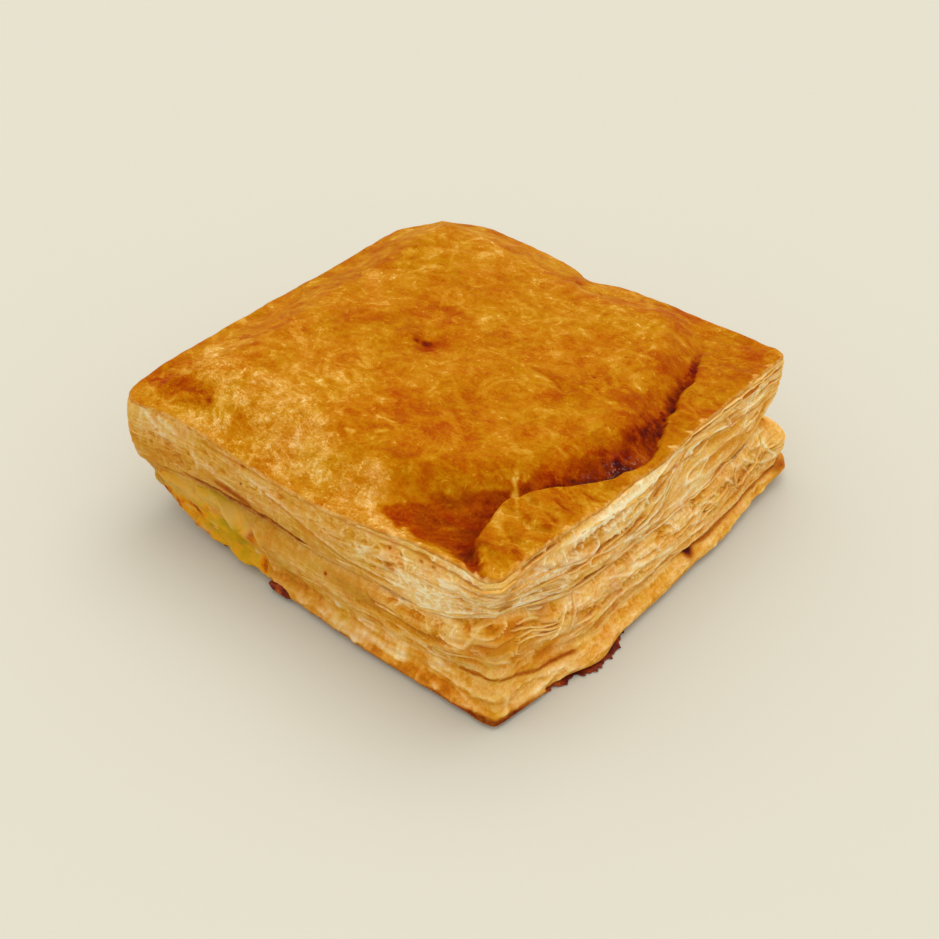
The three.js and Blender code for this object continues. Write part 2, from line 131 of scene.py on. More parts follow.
def curve(row):  # the same as two lists, for what is read off between the points
    return row[::2], row[1::2]


# The outline of the square, walked anticlockwise from the near corner
def traceOutline():
    half = pastry["halfSide"]
    xs, ys, turns = [], [], []
    for k, (cx, cy, radius) in enumerate(pastry["corners"]):
        for a in np.linspace((k - 1) * math.pi / 2, k * math.pi / 2, 41):
            xs.append(cx * (half - radius) + radius * math.cos(a))
            ys.append(cy * (half - radius) + radius * math.sin(a))
            turns.append(a)
    xs, ys, turns = (np.array(c + [c[0] + extra]) for c, extra in ((xs, 0), (ys, 0), (turns, 2 * math.pi)))
    run = np.concatenate([[0], np.cumsum(np.hypot(np.diff(xs), np.diff(ys)))])
    middles = [run[41 * k + 20] for k in range(4)]
    return {"x": xs, "y": ys, "turn": turns, "run": run, "length": run[-1], "middles": middles}


outline = traceOutline()


def edgeAt(s):
    s = np.mod(s, outline["length"])
    turn = np.interp(s, outline["run"], outline["turn"])
    return {
        "s": s,
        "x": np.interp(s, outline["run"], outline["x"]),
        "y": np.interp(s, outline["run"], outline["y"]),
        "outX": np.cos(turn),
        "outY": np.sin(turn),
    }


def edgeBumps(key, e):
    return bumps(pastry[key], e["x"], e["y"])


def onSealedSide(x):  # distance round the outline at which the sealed side is at this x
    return outline["length"] - (pastry["halfSide"] - pastry["corners"][0][2] - x)


def onOpenSide(y):
    nearRadius = pastry["corners"][0][2]
    return nearRadius * math.pi / 2 + y + pastry["halfSide"] - nearRadius


# A random field that closes on itself round the edge: size along it in millimetres, and a level
def along(e, size, level, seed):
    return noise(e["x"] / size + 3.7 * seed, e["y"] / size + 1.3 * seed, level + 7.1 * seed)


# The same with a size up the wall too, in octaves
def skin(e, z, long, high, seed, octaves=1):
    x, y = e["x"] / long + 3.7 * seed, e["y"] / long + 1.3 * seed
    return sum(noise(x * 2**k, y * 2**k, z / high * 2**k + 7.1 * seed) / 2**k for k in range(octaves))


# The shape of the top
def creasePlace(x, y):
    c = pastry["crease"]
    angle = np.degrees(np.arctan2(y - c["y"], x - c["x"]))
    beyond = np.maximum(0, np.maximum(angle - 12, -36 - angle))
    radius = 48.6 + 5.4 * (1 - smooth(-12, 12, angle)) + 0.1 * beyond
    return angle, np.hypot(x - c["x"], y - c["y"]) - radius


def domeAt(x, y):
    c = pastry["crease"]
    inset = pastry["halfSide"] - np.maximum(np.abs(x), np.abs(y))
    angle, across = creasePlace(x, y)
    opened = smooth(c["near"] - 14, c["near"], angle) * (1 - smooth(c["far"], c["far"] + 30, angle))
    risen = mix(inset, np.minimum(inset, -across), opened)
    sealed, free = pastry["domeShoulder"]
    return pastry["domeRise"] * smooth(0, 1, risen / mix(sealed, free, opened))


def seamAt(x, y):
    return pastry["seamHeight"] + bumps(pastry["seam"], x, y)


# Moves a place on the outline outwards. The near corner keeps its sharp edge.
def pushed(e, out, z):
    sharp = np.exp(-((e["x"] - 52) ** 2 + (e["y"] + 52) ** 2) / 60)
    longer = 1 / np.maximum(np.abs(e["outX"]), np.abs(e["outY"]))
    out = out * mix(1, longer, sharp)
    return e["x"] + e["outX"] * out, e["y"] + e["outY"] * out, z


def upperWall(e):
    low = seamAt(e["x"], e["y"]) - 0.7 + edgeBumps("mouth", e)
    return low, crustTop(e["x"], e["y"]) - 0.7


def upperSide(e, v, relief):
    low, high = upperWall(e)
    belly = 1.1 * np.sin(math.pi * v) + (0.25 + 0.5 * openAt(e)) * (1 - v) ** 3
    push = mix(edgeBumps("seamPush", e), edgeBumps("rimPush", e), v)
    return pushed(e, belly + push + relief, mix(low, high, v))


def grooveShare(e):
    sunken = (e["x"] > 40) * smooth(0, 18, e["y"]) * (1 - smooth(46, 52, e["y"]))
    return 0.34 + edgeBumps("groove", e) - 0.11 * sunken


def lowerWall(e):
    low = edgeBumps("lift", e) + 1.0
    return low, seamAt(e["x"], e["y"]) + 0.1 - edgeBumps("mouth", e)


def lipPush(e, z):
    onSide = (e["y"] < -40) * smooth(-9, -4, e["x"]) * (1 - smooth(50, 55, e["x"]))
    return 1.3 * onSide * (bell(z - 1.1, 1.4) - 0.8 * bell(z - 4.3, 1.3))


def openAt(e):
    return np.clip(0.12 + edgeBumps("open", e), 0, 1)


def lowerSide(e, v, relief):
    low, high = lowerWall(e)
    groove = grooveShare(e)
    flare = edgeBumps("footPush", e)
    notch = -0.6 * openAt(e) * bell(v - groove, 0.05)
    onOpen = smooth(46, 51, e["x"])
    fuller = 1.2 + edgeBumps("tierPush", e)
    upTier = (v - groove) / (1 - groove)
    belly = np.where(v > groove, fuller * np.sin(math.pi * np.clip(upTier, 0, 1)), 0)
    slope = mix(smooth(0, 1, v / 0.36), np.clip(v / 0.4, 0, 1), onOpen)
    out = mix(flare, 0.45 * flare, slope) * (1 - 0.5 * smooth(0, 1, upTier))
    out = out + smooth(0.6, 1, v) * edgeBumps("seamPush", e) + notch + belly + relief
    out = out - 1.2 * smooth(0.84, 1, v) + (1.1 - 0.7 * onOpen) * bell(v - 0.12, 0.11)
    out = out + 0.7 * (1 - smooth(0, 0.4, v)) - (1.6 - 0.7 * onOpen) * np.clip(1 - v / 0.12, 0, 1) ** 1.6
    z = mix(low, high, v)
    return pushed(e, out + lipPush(e, z), z)


# How near each point is to a drawn line, how far along it, and on which side (positive on the left)
def nearLine(path, x, y):
    gap, side, place = np.full(np.shape(x), 1e9), np.zeros(np.shape(x)), np.zeros(np.shape(x))
    for k, ((ax, ay, *_), (bx, by, *_)) in enumerate(zip(path, path[1:])):
        dx, dy = bx - ax, by - ay
        t = np.clip(((x - ax) * dx + (y - ay) * dy) / (dx * dx + dy * dy), 0, 1)
        gx, gy = x - ax - t * dx, y - ay - t * dy
        found = np.hypot(gx, gy)
        closer = found < gap
        gap = np.where(closer, found, gap)
        side = np.where(closer, np.sign(dx * gy - dy * gx), side)
        place = np.where(closer, k + t, place)
    return gap, side, place


# Drawn streaks: each is its width, how much it adds, and its points
def streaks(rows, x, y):
    total = np.zeros(np.shape(x))
    for width, add, *line in rows:
        gap, _, place = nearLine(pairs(line), x, y)
        last = len(line) / 2 - 1
        ends = smooth(0, 0.25, place) * (1 - smooth(last - 0.25, last, place))
        total = total + add * bell(gap, width) * mix(0.35, 1, ends)
    return total


def sideStart(side):  # where x or y is 0 on that side
    return onSealedSide(0) if side == "sealed" else onOpenSide(0)


# A side's own coordinates: x on the sealed side, y on the open side, far away elsewhere
def ownPlace(side, s):
    length = outline["length"]
    return np.mod(s - sideStart(side) + length / 2, length) - length / 2


def wallBumps(table, s, z):
    return sum(bumps(rows, ownPlace(side, s), z) for side, rows in table.items())


def wallStreaks(table, s, z):
    return sum(streaks(rows, ownPlace(side, s), z) for side, rows in table.items())


# Layer number at a share v of the wall's height. The layers fan out round a line, the sweep,
# that climbs and falls along the wall, and wander a little on their own.
def layerAt(e, v, look):
    middle = np.interp(e["s"], look["sweepAt"], look["sweep"], period=outline["length"])
    middle = np.clip(middle + 0.06 * along(e, 19, 0.4, look["seed"] + 30), 0.12, 0.88)
    fanned = np.where(v < middle, 0.5 * v / middle, 0.5 + 0.5 * (v - middle) / (1 - middle))
    wander = 0.3 * along(e, 15, v * 2.0, look["seed"]) + 0.16 * along(e, 5.5, v * 3.6, look["seed"] + 5)
    return fanned * look["layers"] + wander * smooth(0, 0.12, v) * (1 - smooth(0.88, 1, v))


def heightOfLayer(e, q, look):  # the share v at which layer q lies
    v = np.broadcast_to(np.asarray(q / look["layers"], float), e["s"].shape)
    for _ in range(8):
        v = np.clip(v + 0.7 * (q - layerAt(e, v, look)) / look["layers"], 0, 1)
    return v


# Where a sweep is given: at these places on the open side, twice behind, and on the sealed side
def sweepStops(*onOpen):
    behind = [outline["middles"][k] + 50 for k in (1, 2)]
    return [onOpenSide(y) for y in onOpen] + behind + [onSealedSide(x) for x in (-48, -20, 10, 30, 48)]


# The sprung side of a sheet: how far each place stands out, and how pale it is. Pale threads and
# lace over golden pockets, in leaves that overlap like steps.
def sprungLayers(e, v, z, look):
    seed, s = look["seed"], e["s"]
    x, y = e["x"], e["y"]
    opened = openAt(e)
    halfOpen, wellOpen = smooth(0, 0.5, opened), smooth(0.1, 0.5, opened)
    q = layerAt(e, v, look)

    def mask(low, high, size, level, step):
        return smooth(low, high, along(e, size, level, seed + step))

    bend, sway = along(e, 5, z / 4, seed), along(e, 2.2, z / 1.8, seed + 1)
    fluffy = smooth(-0.3, 0.3, along(e, 11, v * 2.4, seed + 4) + wallBumps(look["fluffy"], s, z))
    strand = bell(along(e, 8, q * 1.3 + 0.3 * bend, seed + 11), 0.07) * mask(-0.3, 0.2, 5, q, 12)
    fine = bell(along(e, 4, q * 3.1 + 0.5 * sway, seed + 13), 0.1) * mask(-0.2, 0.3, 3, q * 2, 14)
    web = bell(noise(x / 1.7 + 0.6 * sway, y / 1.7, z / 1.4 + 0.6 * bend + seed), 0.11)
    web = web * mask(-0.2, 0.2, 2.6, z / 2, 15)
    lace = bell(noise(x / 0.9 + 0.5 * sway, y / 0.9, z / 0.8 + seed), 0.14)
    # the gaps between the leaves: a thin groove, darkened further down as painted shade
    leafGapShade = bell(q - np.rint(q), 0.09) * mask(-0.15, 0.25, 7, q * 0.8, 20)
    pores = smooth(0.36, 0.56, skin(e, z, 1.0, 0.7, seed)) * mask(-0.15, 0.25, 6, z / 3, 21)
    pores = pores * (1 - smooth(0.3, 0.6, opened))
    drawn = np.clip(wallStreaks(look["threads"], s + 0.3 * sway, z + 0.3 * bend), 0, 1)
    rib = np.maximum(np.maximum(strand, 0.7 * fine), np.maximum(0.9 * web, 0.6 * lace) * fluffy)
    rib = np.maximum(rib * mix(0.6, 0.9, halfOpen), drawn)
    pocket = along(e, look["pocket"], q * 1.6 + 0.4 * bend, seed + 7) + 0.15 - 0.2 * fluffy
    pocket = smooth(0.1, 0.5, pocket) * halfOpen
    drawn = np.clip(wallStreaks(look["pockets"], s + 0.5 * sway, z + 0.5 * bend), 0, 1.2)
    pocket = np.maximum(0.75 * pocket, drawn) * (1 - 0.85 * rib)
    step = q * 2 + 0.3 * sway
    step = (step - np.floor(step)) * mask(-0.2, 0.4, 6, q, 16)
    fibre = skin(e, z, 0.8, 2.2, seed + 40, 2) * (1 - smooth(0.2, 0.5, opened))
    relief = opened * (0.5 * along(e, 9, v * 3.1, seed + 31) + 0.3 * step - 0.85 * pocket) - 0.2 * pocket
    relief = relief + (0.14 + 0.25 * opened) * rib + 0.09 * skin(e, z, 2.6, 0.8, seed, 3)
    relief = relief - (0.12 + 0.25 * opened) * leafGapShade - 0.22 * pores + 0.07 * fibre
    patch = skin(e, z + bend, 6, 2.6, seed + 5, 3) / 1.6
    pale = 0.42 + 0.16 * wellOpen + mix(0.2, 0.14, wellOpen) * patch + 0.05 * fluffy
    pale = pale + 0.36 * rib - 0.42 * pocket + 0.05 * step + 0.12 * fibre
    # the gaps between the leaves are darkened: painted shade
    pale = pale + 0.28 * wallBumps(look["bleached"], s, z) - 0.14 * leafGapShade * (1 - rib) - 0.26 * pores
    flow = np.stack([x, q * 2.4, y], -1)
    # the closed sides get the oily colour too: painted shade that makes them yellower and darker than the open
    # side
    return relief, {"pale": pale, "oil_and_shade": 0.3 * (1 - wellOpen), "flow": flow}


# toast from the tables, and the painted shade in the seam that is drawn among the lines
def toastAndShadeAt(e, z, look):
    return wallBumps(look["toast_and_shade"], e["s"], z) + wallStreaks(look["lines"], e["s"], z)


# Mesh making. A grid from bmesh is bent into place by moving its vertices.
def placesOf(verts):
    return np.array([v.co[:] for v in verts])


def meshFrom(made, name):
    mesh = bpy.data.meshes.new(name)
    made.to_mesh(mesh)
    made.free()
    return mesh


def gridPiece(name, columns, rows, place):
    made = bmesh.new()
    bmesh.ops.create_grid(made, x_segments=columns, y_segments=rows, size=1)
    across, up = (placesOf(made.verts)[:, :2].T + 1) / 2
    points, paint = place(across, np.rint(up * rows))
    return finishPiece(name, meshFrom(made, name), points, paint)


def finishPiece(name, mesh, points, paint):
    shifted = points + np.array([*pastry["shift"], 0.0])
    mesh.vertices.foreach_set("co", (shifted * mm).astype(np.float32).ravel())
    for label, values in paint.items():
        flow = np.ndim(values) == 2
        layer = mesh.attributes.new(label, "FLOAT_VECTOR" if flow else "FLOAT", "POINT")
        values = np.broadcast_to(values, (len(points), 3) if flow else len(points))
        layer.data.foreach_set("vector" if flow else "value", np.array(values, dtype=np.float32).ravel())
    made = bmesh.new()
    made.from_mesh(mesh)
    bmesh.ops.remove_doubles(made, verts=made.verts, dist=1e-6)
    bmesh.ops.dissolve_degenerate(made, dist=1e-7, edges=made.edges)
    bmesh.ops.recalc_face_normals(made, faces=made.faces)
    for face in made.faces:
        face.smooth = True
    made.to_mesh(mesh)
    made.free()
    piece = bpy.data.objects.new(name, mesh)
    bpy.context.collection.objects.link(piece)
    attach(piece, "root")
    print("stage:", name, sum(len(face.vertices) - 2 for face in mesh.polygons), "triangles")
    return piece


# Columns stand close on the two sides that face the camera, wider on the others
def spreadColumns(u):
    near, right, back, left = outline["middles"]
    stops = [back - outline["length"], left - outline["length"], near, right, back]
    return np.interp(u, [0, 0.13, 0.49, 0.87, 1], stops)


# The rows of a closed sheet: four under it, the wall, four over it. Gives v and the share kept
# of the distance from the middle.
def wallRows(row, rows):
    v = np.clip((row - 4) / (rows - 8), 0, 1)
    fromEnd = np.minimum(row, rows - row)
    return v, np.interp(fromEnd, range(5), [0, 0.5, 0.88, 0.96, 1]), row < 4, row > rows - 4


# The browned crust: a grid drawn out to the square, its edge turned down and under
crustLook = {
    "squares": 306,
    "rounding": 0.9,  # radius at the edge
    # how the edge is turned down and under: how far down, and the share kept of the width
    "turned": ((0.2, 0.9985), (0.5, 0.9965), (0.9, 0.985), (6.5, 0.9), (14, 0)),
    "under": 34,  # the height from which the hidden rows are counted
    "rippled": ((-28, 24, 19, 15, 0.32),),
    # painted sheen: greyish specks that stand for the shine on the burnt fold, as x, y, wide, deep, how much
    "painted_sheen": ((46.8, -7.5, 1.6, 3, 0.8), (48.4, -2, 1.2, 3, 0.6), (44.4, -14, 1, 2, 0.4)),
    # the fold where the free edge lifts: x, y, how far the flap stands, width of the slope, how burnt
    "fold": (
        (35.9, 41.9, 0, 1.6, 0.05), (37.5, 38.6, 0.4, 1.8, 0.2), (39.1, 35.6, 0.7, 1.8, 0.3),
        (41.3, 28.7, 1, 2, 0.35), (42.5, 22.2, 1.1, 2.6, 0.34), (44.5, 16.7, 1, 2.6, 0.28),
        (45.8, 12.6, 0.9, 3.4, 0.28), (46.8, 9.1, 0.8, 4.6, 0.32), (48.6, 4, 0.9, 6.6, 0.36),
        (49.7, -1, 0.8, 8, 0.4), (49.4, -6.5, 0.8, 8, 0.46), (47.8, -11, 1, 6.6, 0.44),
        (45.2, -13.8, 1.1, 5.6, 0.4), (43.1, -17.4, 1.1, 4.8, 0.38), (40.8, -22.3, 1.2, 4.6, 0.38),
        (38.4, -27, 1.3, 4.4, 0.36), (36.8, -32.8, 1.3, 4.2, 0.3), (37.6, -37.2, 1.4, 4.4, 0.28),
        (38.7, -41.8, 1.4, 4.4, 0.26), (41, -45.8, 1.2, 3.6, 0.26), (45.2, -49.3, 1, 2.6, 0.24),
        (49.5, -52.6, 0.3, 2, 0.1),
    ),
    # x, y, wide, deep, darker: where the oven has caught the top and where it stayed pale, with one painted
    # highlight
    "regions": (
        (-30, 27, 16, 13, -0.07), (-30, -36, 20, 14, -0.05), (0, -44, 16, 8, -0.04),
        (14, -21, 13, 11, 0.05), (33, -14, 9, 11, 0.06), (19, -37, 8, 6, 0.13), (39, 11, 7, 9, 0.11),
        (47, 38, 8, 8, 0.04), (49, -46, 5, 4, 0.08), (48, 22, 5, 14, 0.06), (-48, -41, 5, 4, 0.13),
        (-41, -44.6, 5, 2, 0.14), (-34, -46.8, 4, 1.1, 0.1), (17.9, 26.4, 6, 5, 0.08),
        (46.1, -37.6, 6, 5, -0.05), (-35.3, -33.8, 8, 7, 0.05), (-8.3, -2.3, 1.8, 1.3, 0.18),
        (-46, -23, 4, 3, 0.07), (-29, -31.5, 4, 2.4, 0.07), (-51, 0, 4, 30, -0.05), (2, -8, 14, 9, -0.02),
        (46, -38, 5, 5, -0.05), (-44, 40, 10, 10, -0.03), (8, 50, 30, 4, -0.05), (30, 40, 8, 6, -0.02),
        (-9, -3, 4.2, 2.4, 0.2), (-11.4, -3.2, 0.9, 0.7, 0.2), (-8, -4.4, 1.1, 0.8, 0.22),
        (-5.6, -4.9, 0.9, 0.7, 0.16), (-9.4, -2.2, 0.8, 0.6, 0.14), (25.2, 22.2, 0.4, 0.4, 0.3),
        (28.7, 21, 0.35, 0.35, 0.32), (27.5, 10.1, 0.4, 0.4, 0.34), (31, 7.7, 0.35, 0.35, 0.24),
        # the pale spot at 32.3, 37.2 is a painted highlight on the glaze
        (29.4, 17, 0.3, 0.3, 0.25), (22, 13, 0.3, 0.3, 0.2), (32.3, 37.2, 2.6, 0.8, -0.2),
        (36.6, 13.5, 1.6, 1.2, -0.16), (-1.7, 39.5, 2.6, 1, 0.08), (1.1, 42.9, 2.4, 1, 0.12),
        (12.8, 43.6, 3, 1, 0.12), (-48, 30, 10, 20, 0.04), (20, 46, 30, 8, 0.04), (34, 30, 8, 20, 0.05),
        (42, -2, 5, 16, 0.05),
    ),
    # outline of the browned hollow beside the flap, x and y in turn
    "hollow": (
        16.8, -46.6, 19.3, -43.8, 23.9, -39.4, 27.1, -34.6, 30.6, -30.5, 35.2, -26.2, 38.6, -27, 36.4, -33,
        37.4, -37.4, 38.9, -41.6, 41.1, -45.2, 46, -50.2, 43.1, -50.4, 35.9, -48.9, 29.1, -49.2, 23.2,
        -47.9, 16.8, -46.6,
    ),
    # where the flakes show through the glaze, and one painted highlight: x, y, wide, deep, how pale
    "pale": (
        (-33, -40, 9, 6, 0.9), (-23, -38, 7, 5, 0.6), (-15, -31, 8, 4, 0.6), (-10, -41, 11, 7, 0.9),
        (-19, -48, 13, 4, 0.8), (-1, -47, 12, 6, 0.9), (3, -33, 8, 4, 0.6), (11, -44, 7, 5, 0.8),
        (19, -49.5, 10, 2.5, 0.9), (-50, -20, 5, 12, 0.6), (-40, -22, 9, 12, 0.35), (-20, -20, 12, 8, 0.2),
        (-30, 6, 10, 14, 0.25), (-43, -6, 6, 9, 0.5), (-34, 8, 5, 9, 0.4), (-44, 36, 6, 6, 0.45),
        (-26, 24, 6, 5, 0.45), (-5, 31, 6, 5, 0.45), (6, 36, 10, 4, 0.6), (17, 35, 6, 5, 0.5),
        # the spot at 33, 33 is a painted highlight on the glaze, not flakes
        (15, 25, 6, 7, 0.55), (33, 33, 3, 2.5, 0.7), (36.5, 14, 2.5, 2.5, 0.7), (28, 21, 5, 6, 0.4),
        (46, -35, 5, 3, 0.5), (50, -38, 3, 5, 0.5), (50, -14, 2, 10, 0.3), (-30, -10, 8, 8, 0.2),
    ),
    # width, how much darker, then x and y in turn
    "marks": (
        (0.45, 0.13, 14.1, 4.5, 17.6, 4.7, 21.9, 4, 26.2, 2.3),
        (0.5, -0.2, 28.9, -33.3, 31.9, -29.4, 35.1, -26.3), (0.55, 0.24, 44.8, -28.5, 50.2, -30.9),
        (0.5, 0.24, 45, -25, 50.2, -26.6), (0.5, 0.2, 45.6, -21.6, 50.4, -22.4),
        (0.5, 0.18, 46.4, -18, 50.6, -18.2), (0.5, 0.2, 43.6, -33, 48.6, -35.6),
        (0.5, 0.16, 42.4, -38, 46.8, -40.8), (0.5, -0.2, -16.5, -22.6, -12.8, -24.2, -9.5, -25.4),
        (0.5, -0.18, 0.5, -27.6, 4.4, -29.4, 9.5, -31), (0.5, -0.16, 8.5, -12.6, 13, -14.8),
        (0.45, -0.16, -3.5, -24.5, 0.6, -26.2), (0.45, -0.16, -9, -20, -5.4, -21.3),
        (0.5, -0.15, 30, 24, 31, 28, 28, 33),
        (0.8, 0.1, -11, 36, -5, 39, 0, 41.5, 6, 41.8, 14, 38.5, 23, 35.2),
        (0.35, -0.16, 45.2, 21, 48.4, 19.6, 50.6, 17.4),
    ),
    # burnt spots at the rim, drawn over the pale field
    "scorched": (
        (2.8, 0.2, -53.3, -46, -45.4, -46.9, -37.9, -46.6, -30.3, -46.6),
        (1, 0.16, -37.9, -46.6, -30.3, -46.6), (1.4, 0.14, -46, -23, -41, -24.6),
        (1.2, 0.12, -31, -31.5, -27, -31.6), (1.6, 0.12, -3, -36, 2, -39),
    ),
    # a drip across the fold and chips in the glaze: width, how pale, then x and y
    "chips": (
        (0.5, 0.5, 29.1, -17.7, 32.6, -21.4, 34.8, -24.4),
        (0.75, 0.95, 34.4, -24.2, 36.6, -27.2, 38.6, -29.6, 40.2, -31.4),
        (0.6, 0.6, 40, -31.4, 42.6, -34.2, 44.3, -35.3), (0.6, 0.9, -20.2, -28, -14.9, -28.6),
        (0.5, 0.8, -21.3, -30.4, -16.4, -31.9), (0.7, 0.9, -1.5, -36.4, 2, -36.4),
        (0.6, 0.9, 0.7, -29.9, 6.9, -28.7), (0.5, 0.8, -2.9, -25.3, -0.5, -24.4),
        (0.4, 0.8, -0.7, -27.7, -0.3, -28.8), (0.4, 0.8, -1.1, -31.7, 0.2, -31),
        (0.6, 0.8, 6.9, -31.8, 4.6, -34.1), (0.5, 0.8, -4.3, -42.3, -2.5, -40.8),
        (0.5, 0.8, -5.2, -40.7, -3, -40.3), (0.5, 0.7, -6.3, -34.1, -3.2, -34),
        (0.5, 0.7, -21.6, -22, -19.9, -21.7), (0.7, 0.9, -39.9, -27, -37.8, -26.9),
        (0.5, 0.7, -9.3, -44.8, -7.7, -43.7), (0.6, 0.7, -18.6, -44, -15.7, -49.8),
        (0.5, 0.7, -16.1, -42.4, -14.3, -39.4), (0.6, 0.6, -36, -35, -31, -38, -27, -43),
        (0.5, 0.6, -12, -34, -8, -38), (0.5, 0.7, 8, -44, 12, -42.6),
    ),
    # outline of the pale field along the sealed side
    "field": (
        -52, -54, -49.5, -42, -50, -33, -38.6, -30.5, -23.8, -32, -15.2, -31.2, -5.7, -36.6, -0.1, -40, 7.7,
        -41.8, 13.5, -41.6, 15.7, -45.4, 23, -47.6, 38, -51.2, 50, -54, 0, -56, -52, -54,
    ),
}


def foldAt(x, y):
    fold = crustLook["fold"]
    gap, side, place = nearLine(fold, *jittered(x, y, 0.5, 3.5, 3, 13))
    stand, slope, burn = (np.interp(place, range(len(fold)), [row[k] for row in fold]) for k in (2, 3, 4))
    return gap * np.where(side == 0, 1, side), stand, slope, burn


def isInside(path, x, y):
    inside = np.zeros(np.shape(x), bool)
    for (ax, ay), (bx, by) in zip(path, path[1:]):
        crosses = (ay > y) != (by > y)
        inside = inside ^ (crosses & (x < (bx - ax) * (y - ay) / (by - ay if by != ay else 1e-9) + ax))
    return inside


# How far inside a closed line each point is, in millimetres
def insideBy(line, x, y):
    path = pairs(line)
    return nearLine(path, x, y)[0] * np.where(isInside(path, x, y), 1, -1)


def crustTop(x, y):
    f = pastry["flap"]
    across, stand, slope, _ = foldAt(x, y)
    near = 1 - smooth(f["near"], f["far"], y)
    plain = pastry["rimHeight"] + domeAt(x, y) + bumps(pastry["top"], x, y)
    overLine = x - f["x"] + f["slant"] * (y - f["y"])
    lifted = mix(smooth(-f["step"], f["step"], overLine), smooth(-1.2, 2.2, across), 0.6)
    steep = bell(across, np.where(across < 0, slope, 0.45))
    return plain + near * f["rise"] * lifted + stand * (0.45 * bell(across - 1.5, 1.6) - 0.75 * steep)


def warped(x, y):
    return jittered(x, y, 1.5, 7, 31, 47)


def wrinkleAt(wx, wy):
    return noise(wy / 1.9 + 0.5 * noise(wx / 2, wy / 2, 96), wx / 5, 91)


def crustRelief(x, y):
    wx, wy = warped(x, y)
    soft = 0.55 * cloud(x / 15, y / 15, 5, 2) + 0.3 * cloud(wx / 4.5, wy / 4.5, 8, 2)
    grain = 0.08 * cloud(x / 1.2, y / 1.2, 2, 2)
    blister = 0.45 * np.clip(cloud(x / 2.8, y / 2.8, 21, 2) - 0.2, 0, 1)
    ripple = noise((0.41 * wx - 0.91 * wy) / 1.9, (0.91 * wx + 0.41 * wy) / 15, 6)
    ripple = bumps(crustLook["rippled"], x, y) * ripple
    crease = 2.1 * streaks([row for row in crustLook["marks"] if row[1] > 0], x, y)
    flaky = 0.3 * paleShare(x, y) * smooth(0.0, 0.25, cloud(wx / 2.4, wy / 1.9, 5, 3))
    return soft + grain + blister + ripple - crease + flaky + 0.7 * flapShare(x, y) * wrinkleAt(wx, wy)


def paleShare(x, y):
    patches = bumps(crustLook["pale"], *jittered(x, y, 2.5, 5, 61, 67))
    field = smooth(-1.5, 2.5, insideBy(crustLook["field"], x, y) + 3.4 * cloud(x / 4.5, y / 4.5, 63, 3))
    return np.clip(0.4 * patches + 0.75 * field, 0, 1)


def flapShare(x, y):
    across, *_ = foldAt(x, y)
    return smooth(0.2, 2, across) * (1 - smooth(-14, -2, y))


def browning(x, y):
    across, _, slope, burn = foldAt(x, y)
    wx, wy = warped(x, y)
    level = 0.5 + bumps(crustLook["regions"], *jittered(x, y, 0.8, 2, 71, 73))
    pale = paleShare(x, y)
    fleck = cloud(wx / 2.4, wy / 1.9, 5, 4)
    film = bell(cloud(wx / 5, wy / 4, 55, 2), 0.13)
    scratch = smooth(0.3, 0.5, noise((0.95 * wx + 0.3 * wy) / 3.4, (0.95 * wy - 0.3 * wx) / 0.8, 9))
    level = level + 0.13 * cloud(wx / 9, wy / 9, 1, 3) + 0.08 * cloud(wx / 2.6, wy / 2.6, 12, 3)
    level = level - (0.05 + 0.06 * pale) * smooth(0.04, 0.1, fleck) - 0.09 * pale
    level = level - (0.03 + 0.03 * pale) * film - (0.04 + 0.06 * pale) * scratch
    hollow = smooth(-1.2, 1.2, insideBy(crustLook["hollow"], x, y) + 1.6 * cloud(x / 2.2, y / 2.2, 33, 3))
    combed = noise((0.8 * wx + 0.6 * wy) / 7, (0.8 * wy - 0.6 * wx) / 0.9, 35)
    inHollow = 0.73 + 0.04 * combed + 0.04 * cloud(wx / 1.6, wy / 1.6, 36, 2) + 0.05 * smooth(3, 0, -across)
    level = mix(level, np.maximum(level, inHollow), hollow)
    ragged = 1 + 0.35 * cloud(x / 3.2, y / 3.2, 51, 2)
    across = across + 0.7 * cloud(x / 1.5, y / 1.5, 58, 2)
    plateau = 1 - smooth(0.5, 1.2, -across / (slope * ragged))
    slopeDark = 0.75 * plateau + 0.25 * bell(across, 1.3)
    slopeDark = np.where(across < 0, slopeDark, bell(across, 0.3 + 0.3 * burn))
    level = level + burn * slopeDark * (1 - 0.75 * hollow) * (0.95 + 0.25 * cloud(x / 1.5, y / 1.5, 53, 2))
    onFlap = 0.13 * cloud(wx / 2.6, wy / 2.2, 93, 3) + 0.14 * wrinkleAt(wx, wy) - 0.06 * smooth(50.2, 52.5, x)
    level = level + flapShare(x, y) * onFlap + streaks(crustLook["scorched"], wx, wy)
    level = level + streaks(crustLook["marks"], mix(x, wx, 0.3), mix(y, wy, 0.3))
    chips = streaks(crustLook["chips"], *jittered(x, y, 0.4, 1.2, 97, 98))
    level = mix(level, 0.2, smooth(0.2, 0.9, chips))
    level = np.maximum(level, 0.66 * level + 0.11)
    # the darker half is drawn out, so that the material's mottling shows less where it is burnt
    return np.interp(level, (0, 0.5, 0.66, 0.75, 0.84, 0.92, 1.0), (0, 0.4, 0.53, 0.65, 0.78, 0.89, 1.0))


